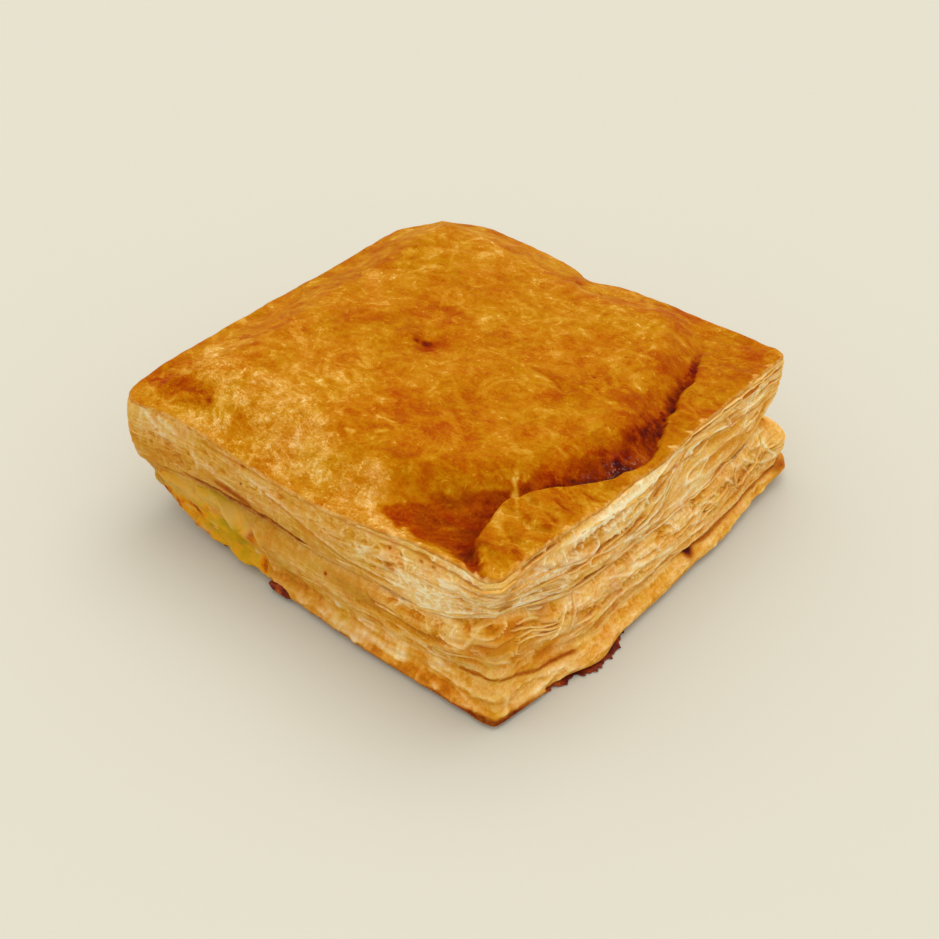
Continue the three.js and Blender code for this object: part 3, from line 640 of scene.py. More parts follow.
def makeCrust():
    count = crustLook["squares"]
    made = bmesh.new()
    bmesh.ops.create_grid(made, x_segments=count, y_segments=count, size=1)
    flat = placesOf(made.verts)[:, :2]
    bent = flat + 0.16 * np.array([1, -1]) * (1 - flat**2)  # closer together toward the near corner
    u, w = bent[:, 0], bent[:, 1]
    ring = np.maximum(np.maximum(np.abs(u), np.abs(w)), 1e-9)
    near, right, back, left = outline["middles"]
    sides = [u >= ring - 1e-9, w >= ring - 1e-9, u <= -ring + 1e-9]
    share = np.select(sides, [w, -u, -w], u) / ring / 2 + 0.5
    start = np.select(sides, [near, right, back], left)
    stop = np.select(sides, [right, back, left], near + outline["length"])
    e = edgeAt(mix(start, stop, share))
    opened = openAt(e)
    ragged = 0.04 + 0.15 * opened + (0.14 + 0.3 * opened) * along(e, 6, 0.3, 41) + 0.12 * along(e, 1.6, 0.7, 42)
    ex, ey, _ = upperSide(e, 1.0, ragged)
    x, y = ex * ring, ey * ring
    fromEdge = (1 - ring) * pastry["halfSide"]
    radius = crustLook["rounding"]
    rounded = radius * (1 - np.sqrt(1 - (1 - np.clip(fromEdge / radius, 0, 1)) ** 2))
    wavy = 0.3 * along(e, 8, 0.1, 43) + 0.12 * along(e, 2.4, 0.2, 44)
    z = crustTop(x, y) + crustRelief(x, y) * smooth(0, 2.5, fromEdge)
    z = z + wavy * (1 - smooth(0, 6, fromEdge)) - 0.75 * rounded
    for v, px, py, pz in zip(made.verts, x, y, z):
        v.co = (px, py, pz)
    top = len(made.verts)
    for drop, keep in crustLook["turned"]:
        edges = [edge for edge in made.edges if edge.is_boundary]
        turned = bmesh.ops.extrude_edge_only(made, edges=edges)["geom"]
        for v in turned:
            if isinstance(v, bmesh.types.BMVert):
                v.co = (v.co.x * keep, v.co.y * keep, (v.co.z if keep > 0.95 else crustLook["under"]) - drop)
    points = placesOf(made.verts)
    tongue = along(e, 1.1, 0.4, 81) + 0.5 * along(e, 0.5, 0.9, 82)
    rim = np.ones(len(points))
    rim[:top] = 0.85 * (1 - smooth(0, 0.35, fromEdge - 0.05 - 1.6 * opened * np.clip(tongue, 0, 1)))
    px, py, _ = points.T
    return finishPiece("crust", meshFrom(made, "crust"), points, {
        "browned": browning(px, py), "rim": rim, "painted_sheen": bumps(crustLook["painted_sheen"], px, py),
        "flaky": 0.3 + 0.7 * paleShare(px, py),
    })


crust = makeCrust()

# Upper sheet: its sprung side. Rows of the walls are x on the sealed side or y on the open side, and z.
upperLook = {
    "layers": 7, "seed": 3, "pocket": 7, "columns": 1080, "rows": 84, "hidden": 27,
    # x or y, z, half width, half height, how far lace takes over
    "fluffy": {"open": (
        (-16, 32, 20, 3, 0.8), (-36, 29, 10, 5, 0.6), (26, 25, 22, 6, -0.9), (-14, 20, 20, 3.5, -0.4),
    ), "sealed": (
        (40, 27, 14, 6, 0.7), (-10, 25, 30, 8, 0.1),
    )},
    "sweepAt": sweepStops(-50, -30, -10, -4, 1, 5, 11, 20, 30, 48),
    "sweep": (0.42, 0.3, 0.22, 0.24, 0.39, 0.6, 0.8, 0.76, 0.7, 0.66, 0.4, 0.6, 0.55, 0.5, 0.36, 0.4, 0.5),
    # half width, how strong, then x or y and z in turn
    "threads": {"open": (
        (0.5, 1, 47.2, 17.2, 39, 17.6, 32.2, 16.9, 26.6, 17.2, 18.8, 16.4, 8, 16.3, -6.6, 17.2, -17.6,
         18.7),
        (0.38, 1.1, 28.7, 28.2, 24.6, 29.7, 16.9, 31.3, 11.1, 30.9, 4.2, 28.3, 2.3, 25.4, 0.6, 22.4, -3.9,
         21.3, -11.2, 20.4),
        (0.3, 0.9, 19.9, 24.4, 14.8, 21.1, 11.8, 19.1, 8, 18),
        (0.33, 1, 10.1, 32.1, 4.3, 31.8, -0.8, 31.2, -3.6, 28.9, -4.7, 28.1, -2.3, 24.7),
        (0.8, 0.9, -34, 34.3, -30, 33.3, -26.3, 33.3, -22.5, 32.4, -18.8, 31.9, -11.2, 30.8, -4.4, 30.9),
        (0.5, 0.8, -27.9, 33.9, -24.7, 30.9, -22.5, 31.9),
        (0.35, 0.7, -16.1, 28.8, -14.4, 25.8, -11.7, 22.1),
        (0.4, 0.75, -39.6, 31.4, -30.3, 26.6, -17.9, 22.2, -9.4, 20, 0.8, 19.2, 12, 19.2, 26, 20.6),
        (0.35, 0.7, 50, 32.4, 38, 32.8, 26, 32.6, 17, 32.9, 6, 33),
        (0.3, 0.7, 47, 29.8, 38, 29.2, 30, 29.9), (0.35, 0.7, 46, 25.6, 38, 24.2, 30, 24.6, 24, 26.4),
        (0.4, 0.8, -49.6, 28.4, -46.4, 26.7, -41.2, 24.3, -36.3, 21.8, -32.5, 20.1),
        (0.3, 0.7, -39.7, 32.5, -36.7, 29.8, -37.8, 28.7),
    ) + tuple(  # short ribs that cross from leaf to leaf under the rim
        (0.42, 0.9, y, 32.8 + bend, y + 0.9, 30.6, y + 1.3 + bend, 28.6) for y, bend in (
            (-39, 0.4), (-36.4, -0.3), (-33.4, 0.3), (-30, 0.6), (-27.4, -0.2), (-24, 0.5), (-20.4, 0),
            (-17.6, 0.4), (-13.4, -0.3),
        )
    ), "sealed": (
        # the first two threads, near the left corner, are drawn pale as painted highlights on the leaf edges
        (0.6, 0.8, -41.9, 30.8, -39, 29.8, -35.7, 28.7), (0.6, 0.7, -32, 26.1, -30.8, 24.9, -31.1, 21.4),
        (0.3, 0.7, 34.8, 22.8, 36.8, 26.2, 39.9, 28.1, 38.1, 23.5),
        (0.3, 0.7, 41.9, 31.7, 44.4, 31.2, 47.4, 29.3, 46.8, 25.8), (0.3, 0.7, 26, 21.2, 29, 24, 28, 27.6),
        (0.4, 0.8, 29, 18.6, 36.3, 21.5, 39.9, 22.4, 42.5, 23.7, 46.8, 26.2, 51.5, 29.3),
        (0.35, 0.6, -2, 22, 8, 21.4, 17, 20.4, 26, 20.2), (0.4, 0.5, -24, 21.4, -14, 22.6, -4, 23.4),
        (0.5, 0.8, -16, 28.2, -12.8, 27.4, -1.9, 25.6, 5.1, 24, 13.8, 21.9, 22.7, 22.3, 31.4, 23.3),
        (0.6, 0.8, -48, 32.6, -46.7, 32, -43.3, 29.4, -41.9, 28.4),
        (0.5, 0.8, -42, 32, -39.9, 30.6, -37.4, 30.4),
        (0.4, 0.7, 18, 31.4, 21.2, 30.5, 27.9, 28.2, 30.4, 25.6, 31.4, 23.3),
        (0.4, 0.7, 33, 27.6, 35.6, 25.2, 37.6, 23.6), (0.35, 0.5, -30, 29.4, -20, 28.4, -8, 29, 2, 29.2),
        (0.35, 0.5, -34, 24.4, -26, 23.4, -14, 25.2),
    )},
    # the same: hollows between the leaves
    "pockets": {"open": (
        (1, 1.1, 1.5, 30.3, 0.4, 28.6, -1.6, 27, -3.2, 26.6), (0.6, 0.9, 11.9, 21.3, 12.1, 18.1),
        (0.7, 0.9, 5, 19.6, 2.1, 18.9), (0.8, 0.8, -8.9, 24.7, -14.3, 27.5),
        (0.6, 0.8, -4.5, 18.8, -8.7, 19.2), (0.6, 0.9, -23.2, 30.9, -19, 29.7),
        (0.8, 1, -31.3, 30.6, -27.4, 29.6, -22.2, 27.1), (0.7, 0.9, -33.5, 27.5, -27.9, 25.1, -21.8, 23.3),
        (1.5, 0.8, 32.4, 22.4, 23.9, 23.1, 16.5, 23.4), (1.3, 0.8, 36, 27, 26, 27.4, 18, 27.8),
        (1, 0.7, -37.6, 30, -35, 29.6), (1, 0.7, -31.6, 30.2, -29, 29.6), (0.9, 0.7, -22, 30, -19, 29.4),
        (0.5, 0.7, 46, 27.6, 40, 27), (0.5, 0.8, 18, 30, 12, 29.2), (0.8, 0.6, -48.6, 33.3, -47.2, 31.4),
    ), "sealed": (
        (0.9, 0.9, -24.5, 25.1, -21, 25.6), (0.9, 0.7, -29, 29.4, -27, 27.2, -26, 25),
        (0.6, 0.7, -17, 29.5, -16, 29.4), (0.9, 0.9, 9.5, 29, 10.3, 29), (0.8, 0.9, 13.2, 28.9, 14, 28.9),
        (0.8, 0.6, 30.5, 25, 31.5, 23.6), (0.7, 0.6, 25.6, 28, 26.4, 27), (0.8, 0.6, 36.2, 28, 36.8, 26.2),
        (0.7, 0.7, 43.6, 29.2, 45, 27.8), (0.5, 0.6, 17, 24.9, 16.4, 24.5), (0.6, 0.5, 22, 22.6, 22.8, 22),
    )},
    # x or y, z, half width, half height, how toasted
    "toast_and_shade": {"sealed": (
        (-23.5, 20.6, 3.5, 0.9, 0.14), (-20.5, 19.9, 2.6, 1, 0.16), (-17, 19.4, 3, 0.8, 0.16),
        (23.2, 16.9, 5, 1.6, 0.12), (25.6, 30.9, 0.5, 0.4, 0.5), (28.9, 31.2, 0.5, 0.4, 0.5),
        (34.1, 32.4, 0.5, 0.4, 0.5), (37.2, 32.6, 0.5, 0.4, 0.4), (25.1, 26.9, 0.9, 0.8, 0.35),
        (-39.1, 25.6, 1.2, 1.2, 0.25), (-36.4, 22.6, 1.4, 1, 0.25), (47.4, 24.6, 1.6, 1, 0.3),
        (-16.2, 29.8, 0.6, 0.5, 0.5), (26.5, 26.2, 1.1, 0.9, 0.25), (24.4, 25.2, 0.9, 0.8, 0.2),
        (-49, 20, 5, 6, 0.1), (-17, 25, 0.32, 0.32, 0.9),
    ), "open": (
        (-49, 31, 2.5, 3, 0.25), (-44, 33.4, 4, 1.2, 0.16),
    )},
    # half width, how toasted, then x or y and z in turn. The first sealed line, along the seam, is painted
    # shade in the seam.
    "lines": {"sealed": (
        # painted shade in the seam, under the upper sheet's edge
        (0.5, 0.42, -37.5, 17.9, -31, 17, -25, 16.7, -19.2, 17.2, -10.5, 17.7, -5, 18),
        (1.5, 0.36, -27, 20.4, -22.7, 20.4, -19.1, 19.8, -15, 19),
        (0.35, 0.26, -31.2, 30.2, -16.4, 29.7, -2, 29.5, 14.3, 30.7, 29.7, 33.2, 42.3, 33.8, 50.2, 33.4),
        (0.35, 0.24, -10, 26.2, -1.9, 24.6, 5.1, 23, 13.8, 21, 22.7, 21.4),
    ), "open": (
        (0.35, 0.3, -32.9, 31, -19.2, 30.2, -4.7, 29.6, 10.2, 29.4, 25.8, 29.2, 44.3, 26.4),
        (0.4, 0.2, -40.7, 33.6, -33.3, 28.7, -23.8, 25.3, -13.3, 22.4, -6.3, 20.5),
        (0.4, 0.45, 8, 33.4, 24, 33.2, 38, 32.8, 50, 32.2),
    )},
    # x or y, z, half width, half height, how much paler
    "bleached": {"sealed": (
        (-8, 32, 34, 1.3, 0.5), (36, 35.2, 12, 1.2, 0.5), (-40, 31.5, 6, 2.4, 0.5), (18, 28, 6, 2.6, 0.2),
        (13, 22.4, 7, 3, 0.35), (34, 32.6, 5, 1.6, -0.4), (29, 29.4, 4, 2, -0.3), (-46, 29.5, 4, 2.6, 0.9),
        (-36, 27.4, 8, 2.4, 0.9), (12, 25, 7, 2, 0.35), (38, 26, 12, 5, 0.4), (-29, 24, 3, 2.4, 0.5),
        (-2, 27, 16, 2.4, 0.3),
    ), "open": (
        (-10, 31.6, 16, 1.8, 0.55), (-34, 30.6, 4, 2, -0.4), (20, 18, 18, 1.6, 0.6), (38, 30, 9, 2.6, 0.6),
        (-38, 26, 12, 6, 0.35), (-8, 25, 22, 6, 0.5), (22, 29, 18, 4, 0.35), (-40, 28, 9, 3, 0.5),
    )},
}


def placeUpper(u, row):
    look = upperLook
    e = edgeAt(spreadColumns(u))
    v, share, under, over = wallRows(row, look["rows"])
    wallZ = mix(*upperWall(e), v)
    relief, paint = sprungLayers(e, v, wallZ, look)
    ends = smooth(0, 0.03, v) * (1 - smooth(0.98, 1, v))
    x, y, z = upperSide(e, v, relief * ends - 0.1 * smooth(0.9, 1, v))
    hidden = np.where(under, pastry["seamHeight"] + pastry["fillingHalf"], look["hidden"])
    z = np.where(under | over, mix(hidden, z, smooth(0.9, 1, share)), z)
    paint["pale"] = mix(0.5, paint["pale"], ends)
    paint["toast_and_shade"] = toastAndShadeAt(e, wallZ, look)
    return np.stack([x * share, y * share, z], -1), paint


upperLayers = gridPiece("upper_layers", upperLook["columns"], upperLook["rows"], placeUpper)

# Lower sheet: foot, groove and the tier above it. Rows as in upperLook.
lowerLook = {
    "layers": 7, "seed": 8, "pocket": 6, "columns": 1080, "rows": 84,
    "fluffy": {"open": (
        (34, 12, 16, 6, 0.5), (-14, 11, 16, 4, 0.5), (-42, 18, 8, 8, 0.2),
    ), "sealed": (
        (43, 18, 12, 6, 0.5), (0, 10, 34, 8, -0.5),
    )},
    "sweepAt": sweepStops(-48, -30, -10, 10, 30, 48),
    "sweep": (0.5, 0.56, 0.6, 0.5, 0.46, 0.5, 0.6, 0.42, 0.5, 0.5, 0.56, 0.6, 0.5),
    "threads": {"open": (
        (0.4, 1, 33.1, 16.1, 38, 12.4, 42.2, 10.4, 47.5, 9.6), (0.45, 1, 42.1, 15.6, 43.8, 13, 46.7, 9.8),
        (0.45, 1, 25.9, 15.2, 27.7, 13.6, 30, 11.2, 30.4, 8.6),
        (0.4, 0.9, 33.1, 13.8, 35.6, 11.6, 36.8, 9.4), (0.4, 0.8, 16.3, 13.7, 19.5, 12.6, 23.2, 10.2),
        (0.4, 0.8, 28.5, 16, 33.8, 14.4), (0.5, 0.8, 10.1, 12, 15.3, 9.9, 19.2, 9.2),
        (0.7, 0.9, -10.7, 14.4, -8, 13.2, -4.6, 11.9, 0.9, 10.6, 4.7, 9.9),
        (0.35, 0.8, -19.9, 16.3, -14.7, 14.2, -8.6, 12), (0.3, 0.7, -17.8, 14.1, -15.8, 11.8, -12.8, 9.7),
        (0.45, 0.9, -31.4, 17.9, -33.6, 15.3, -35.7, 13.8, -37.9, 12.5),
        (0.7, 0.8, -43.5, 18.4, -38.8, 17.3), (0.35, 0.9, -51.1, 17.6, -47.2, 12.8),
        (0.45, 0.8, -31, 10.2, -20, 9.4, -8, 9, 6, 8.9, 20, 8.4),
        (0.45, 0.8, 50, 7.4, 42, 6.5, 30, 6.2, 18, 6.2, 6, 6, -6, 5.9, -18, 6, -30, 6.3),
        (0.7, 0.8, -49.5, 2.2, -43.8, 3, -38.4, 3.9, -34, 4.8),
    ), "sealed": (
        (0.35, 0.8, 42.3, 18.3, 43.3, 21.4),
        (0.4, 0.9, 39.1, 17.4, 42, 16.6, 45.6, 17.8, 48, 21.2, 48.9, 24.6),
        # the ridge up the near corner, at x 52.4 to 52.9, is raised a little and drawn pale: a painted
        # highlight along the corner's edge
        (0.35, 0.8, 46.9, 17.8, 49.5, 18.9, 51.6, 17.4), (0.45, 0.9, 52.4, 0.5, 52.8, 4.3, 52.9, 9.4),
        (0.6, 0.6, 29, 7.6, 34, 7.9, 40.2, 8.3, 44.5, 8.5),
        (0.35, 0.9, -3, 1.9, 4.2, 2, 10.6, 2, 14.1, 2.6),
        (0.9, 0.5, 12.9, 4.9, 24.4, 4.2, 35.8, 5.6, 47, 7.6),
        (0.5, 0.5, -16.8, 14.6, -14.4, 12.9, -12.2, 8.8, -11, 5, -10.4, 3),
    )},
    "pockets": {"open": (
        (1.1, 1, 32.3, 12.8, 37.5, 10.8, 41.5, 9), (0.9, 0.9, 25, 12.4, 27, 11.4),
        (0.7, 0.8, 16.7, 11, 22.6, 9.3), (0.8, 0.8, 36.5, 15.4, 38.5, 14.5),
        (0.8, 0.8, -10.7, 11.2, -7.7, 10.6), (0.8, 0.7, -1.4, 14.2, 3.8, 12.8),
        (0.8, 0.7, -14.6, 16.6, -9.3, 15.5), (1.3, 1, -51.9, 24.6, -48.1, 22.4, -44, 20.9),
        (1.3, 1, -50.3, 21.2, -50, 17), (1.1, 1, -48.4, 17.4, -46.4, 13.6, -44.9, 11.5),
        (1.1, 0.9, -30.2, 14.8, -26.3, 12.6, -22, 12.2), (0.9, 0.9, -35.5, 18.7, -33.7, 18.4),
        (0.9, 0.8, -41.6, 12.9, -38.9, 9.5), (0.6, 0.6, -26, 7.6, -12, 7.2, 4, 7.2, 20, 7.4),
    ), "sealed": (
        (1.3, 1, 44.4, 22.6, 46.7, 21.9), (0.9, 0.9, 46.9, 15.8, 49.6, 15.2),
        (0.9, 0.8, 37.5, 18.6, 39.7, 19.4), (0.9, 0.9, 50, 25.2, 51.3, 23),
        (0.5, 0.5, -27, 14.8, -18, 15.2),
    )},
    "toast_and_shade": {"open": (
        (10.6, 5, 1.5, 1.1, 1), (49, 5.4, 2.4, 1.2, 0.5), (-42, 17, 6, 5, 0.1), (-48, 1.5, 6, 0.7, 0.45),
        (-30.2, 12.9, 3.5, 1.8, 0.2), (-17.6, 13, 3.5, 1.8, 0.18), (-37.9, 20.4, 3.5, 1.4, 0.2),
        (-52.2, 20.6, 2.5, 2, 0.2), (34, 12, 9, 4, 0.12), (0, 1.3, 50, 0.6, 0.2),
    ), "sealed": (
        (7.7, 14.4, 0.45, 0.45, 0.9), (46, 1.5, 9, 0.7, 0.4), (26, 1.6, 26, 0.7, 0.34),
        (5, 1.5, 12, 0.6, 0.3), (-50, 7, 2.2, 1.6, 0.4), (-46, 4.2, 5, 0.9, 0.4), (49.5, 17.5, 3, 2.2, 0.1),
    )},
    "lines": {"open": (
        (0.4, 0.6, -51, 11, -48.5, 10.2, -45, 8.6, -41.6, 7.2, -36, 6.2, -30, 5.7),
    ), "sealed": (
        (0.4, 0.6, 43.2, 9.9, 46.3, 10.7, 49.3, 11.4, 52.2, 11.6),
        (0.45, 0.11, 2.2, 2.8, 9.8, 3, 18.8, 3.6, 27.4, 5, 36, 6.6, 43, 9.7),
    )},
    "bleached": {"sealed": (
        (14, 7, 16, 2, 0.4), (33, 10.5, 12, 2, 0.5), (24, 2.4, 26, 1, 0.2), (27.2, 4, 5, 2, -0.3),
        (30, 6.6, 15, 1.3, 0.7), (30, 4, 5, 1.6, -0.8), (4, 15, 8, 2, 0.4), (14, 14.8, 18, 1.9, -0.8),
        (36, 15.2, 10, 1.6, -0.6), (0, 11, 20, 1.4, 0.3), (51.5, 6, 1.6, 4, -0.5), (46, 4, 7, 2.4, 0.25),
        (38, 20, 5, 3, 0.3), (36, 4, 12, 2, 0.25),
    ), "open": (
        (-35, 3.5, 14, 2.4, 0.3), (18, 2.6, 8, 1.6, -0.5), (-12, 2.6, 14, 1.6, 0.2), (-30, 15, 2, 4, 0.6),
        (42, 14, 7, 3, 0.2), (-39, 4.8, 13, 2.8, 1.2), (-10, 14.5, 12, 1.5, 0.4), (-40.7, 15.2, 4, 3, 0.9),
        (-34, 10.4, 4, 2, 0.4),
    )},
    # x or y, z, half width, half height, how oily
    "oil_and_shade": {"sealed": (
        (-44, 11, 7, 5, 0.6), (18, 14.8, 24, 2, 0.4), (44, 11.5, 6, 2, 0.3), (-24, 14.6, 12, 1.4, 0.6),
        (-8, 8, 3, 5, 0.2),
    )},
}


def placeLower(u, row):
    look = lowerLook
    e = edgeAt(spreadColumns(u))
    v, share, under, over = wallRows(row, look["rows"])
    low, high = lowerWall(e)
    wallZ = mix(low, high, v)
    relief, paint = sprungLayers(e, v, wallZ, look)
    groove = grooveShare(e)
    tier = smooth(groove - 0.02, groove + 0.1, v)  # the foot is close, the tier above it open
    combed = skin(e, wallZ, 3.2, 1.2, 4, 3) + 0.6 * skin(e, wallZ, 0.7, 2.4, 9)
    band = skin(e, wallZ, 24, 1.5, 17) + 0.5 * skin(e, wallZ, 9, 0.8, 18)
    ends = smooth(0, 0.03, v) * (1 - smooth(0.96, 1, v))
    x, y, z = lowerSide(e, v, (relief * mix(0.4, 1, tier) + 0.26 * (combed + band) * (1 - tier)) * ends)
    z = np.where(under, low * smooth(0.86 - 0.045 * np.clip(low - 1, 0, 9), 1, share), z)
    z = np.where(over, mix(pastry["seamHeight"] - pastry["fillingHalf"], z, smooth(0.9, 1, share)), z)
    onOpen = smooth(46, 51, e["x"])
    pale = paint["pale"] - 0.08 * smooth(0.1, 0.5, openAt(e))
    footPale = 0.42 + (0.28 - 0.16 * onOpen) * combed + (0.2 - 0.1 * onOpen) * band + 0.6 * (pale - 0.46)
    paint["pale"] = mix(0.5, mix(footPale, pale, tier), ends)
    inGroove = bell(v - groove, 0.028) * (e["x"] > 40) * smooth(-40, -26, e["y"])
    inGroove = inGroove * (0.2 + 0.3 * smooth(-5, 20, e["y"]) + 0.2 * along(e, 4, 0.5, 19))
    paint["toast_and_shade"] = toastAndShadeAt(e, wallZ, look) + inGroove
    paint["oil_and_shade"] = paint["oil_and_shade"] + wallBumps(look["oil_and_shade"], e["s"], wallZ)
    return np.stack([x * share, y * share, z], -1), paint


lowerLayers = gridPiece("lower_layers", lowerLook["columns"], lowerLook["rows"], placeLower)

# Leaves that have sprung free: thin strips standing out of the walls, along lines drawn on them
leafLook = {
    "seed": 5,
    # across a leaf, from its root in the wall to its lip: how far out, how high
    "section": ((-1.3, 0), (0.35, 0.5), (0.86, 0.4), (1, 0), (0.86, -0.4), (0.35, -0.5), (-1.3, 0)),
    # side, reach, thickness, curl, then x or y and z in turn
    "upper": (
        ("open", 0.7, 0.5, -0.4, 40, 16.9, 36, 17, 26.4, 17.8, 19.3, 16.6, 11.4, 16.4, 4.2, 16.9, -3.4,
         17.4, -12, 18.6),
        ("open", 0.6, 0.4, -0.3, 31, 30.2, 20, 30.6, 11, 31.2, 5, 28.6, 1, 24.6, -4, 21.8, -11, 21.2),
        ("open", 0.5, 0.35, 0.1, 50, 33, 40, 33.2, 30, 33.5, 20, 33.6, 8, 33.4, 0, 32),
        ("open", 0.8, 0.4, 0.3, 4.5, 31.6, -1, 31, -5, 29.6, -10, 30.2, -18, 31.6, -26, 33.2, -34, 34),
        ("open", 0.5, 0.35, -0.2, -8, 23.4, -18, 24.4, -28, 25.2, -38, 27.2, -48, 30),
        ("open", 0.7, 0.5, -0.5, -27, 19.6, -33, 20.8, -38, 22.6, -43, 24.6, -47, 26.6, -51, 28.6),
        ("sealed", 0.5, 0.45, -0.5, 18.4, 19.2, 27, 18.4, 35, 20.4, 41, 23.2, 46.5, 26, 51, 28.4),
        ("sealed", 0.3, 0.3, 0, 28, 27.6, 36, 28.4, 43, 30, 50, 31),
    ),
    "lower": (
        ("open", 0.5, 0.45, 0, 50, 7.8, 42, 6.9, 30, 6.5, 18, 6.5, 6, 6.2, -6, 6.1, -18, 6.2, -30, 6.6),
        ("sealed", 0.4, 0.45, 0, 42, 10.4, 46, 11.4, 49, 12.1, 52, 12.3),
        ("open", 0.6, 0.5, 0.2, -27.5, 19.2, -29.5, 17, -31.5, 14.2, -33.4, 11.4),
        ("open", 0.6, 0.35, 0.2, 44, 17.5, 41, 15, 37, 12.2, 32, 10.6, 27, 11.4),
        ("open", 0.5, 0.35, 0.1, 31, 16, 29.4, 13.4, 29.6, 11, 31.6, 9.2),
        ("open", 0.5, 0.3, 0, 22, 14.2, 16, 12.2, 10, 11.6, 2, 11.8, -8, 12.4, -18, 13.8),
    ),
}


def leafPiece(name, wallOf, sideOf, leaves):
    made = bmesh.new()
    points, lips, tones = [], [], []
    out, up = np.array(leafLook["section"]).T
    root = out[0]
    for leaf in leaves:
        at, height, tone = leaf["at"], leaf["height"], leaf["tone"]
        steps = len(at) - 1
        grid = bmesh.ops.create_grid(made, x_segments=steps, y_segments=len(out) - 1, size=1)["verts"]
        i, j = np.rint((placesOf(grid)[:, :2] + 1) / 2 * (steps, len(out) - 1)).astype(int).T
        run = np.hypot(np.gradient(at), np.gradient(height)) + 1e-6
        upS, upZ = -np.gradient(height) / run, np.gradient(at) / run
        taper = np.sqrt(np.clip(np.sin(math.pi * np.arange(steps + 1) / steps), 0, 1))
        reach = leaf["reach"] * (1 + 0.45 * noise(at / 1.3, height, tone * 9)) * taper
        lip = np.clip(out[j], 0, 1)
        proud = np.where(out[j] < 0, out[j], out[j] * reach[i])
        proud = root + (proud - root) * np.minimum(1, 2 * taper[i])
        rise = (up[j] * leaf["thick"] + leaf["curl"] * lip**2 * reach[i]) * taper[i]
        e = edgeAt(at[i] + upS[i] * rise)
        low, high = wallOf(e)
        z = height[i] + upZ[i] * rise
        points.append(np.stack(sideOf(e, np.clip((z - low) / (high - low), 0, 1), proud), -1))
        lips.append(lip * taper[i])
        tones.append(np.full(len(i), tone))
    points, lips, tones = (np.concatenate(c) for c in (points, lips, tones))
    x, y, z = points.T
    return finishPiece(name, meshFrom(made, name), points, {
        "pale": 0.46 + lips * (0.4 - 0.25 * tones), "toast_and_shade": 0.0, "oil_and_shade": 0.0,
        "flow": np.stack([x + y, z * 2, z], -1),
    })


# The leaves that somebody looking at it would name
def drawnLeaves(rows, chance):
    leaves = []
    for side, reach, thick, curl, *line in rows:
        path = np.array(pairs(line), float)
        far = np.concatenate([[0], np.cumsum(np.hypot(*np.diff(path, axis=0).T))])
        t = np.linspace(0, far[-1], max(8, int(far[-1] / 0.4)))
        at, height = (np.interp(t, far, values) for values in path.T)
        seed = chance.rand()
        leaves.append({
            "at": at + sideStart(side), "reach": reach, "thick": thick, "curl": curl, "tone": seed,
            "height": height + 0.22 * noise(at / 2.1, seed * 40) + 0.4 * noise(at / 7, seed * 90),
        })
    return leaves


# Leaves along the layers all round, many where the side stands open and few where it is sealed
def sprungLeaves(wallOf, look, chance, lowest):
    leaves = []
    _, right, _, left = outline["middles"]
    for layer in np.arange(0.5, look["layers"], 0.5):
        place = chance.rand() * 8
        while place < outline["length"]:
            opened = float(openAt(edgeAt(np.array([place])))[0])
            seen = place < right or place > left
            length = chance.uniform(4, 17) * (1 if seen else 1.5)
            if chance.rand() < (0.02 + 0.2 * opened) * (1 if seen else 0.6):
                at = place + np.arange(0, length, 0.42 if seen else 0.8)
                e = edgeAt(at)
                v = heightOfLayer(e, layer + 0.35 * noise(at / 6, layer * 7.7, 2), look)
                if v.min() > lowest and v.max() < 0.95 and len(at) > 7:
                    leaves.append({
                        "at": at, "height": mix(*wallOf(e), v),
                        "reach": (0.1 + 0.5 * opened) * chance.uniform(0.3, 1),
                        "thick": chance.uniform(0.3, 0.6), "curl": chance.uniform(-0.5, 0.3),
                        "tone": chance.rand(),
                    })
            place += length * chance.uniform(0.55, 1.1) + chance.uniform(0, 3)
    return leaves


chance = np.random.RandomState(leafLook["seed"])
upperLeaves = leafPiece("upper_leaves", upperWall, upperSide, (
    drawnLeaves(leafLook["upper"], chance) + sprungLeaves(upperWall, upperLook, chance, 0.05)))
lowerLeaves = leafPiece("lower_leaves", lowerWall, lowerSide, (
    drawnLeaves(leafLook["lower"], chance) + sprungLeaves(lowerWall, lowerLook, chance, 0.42)))

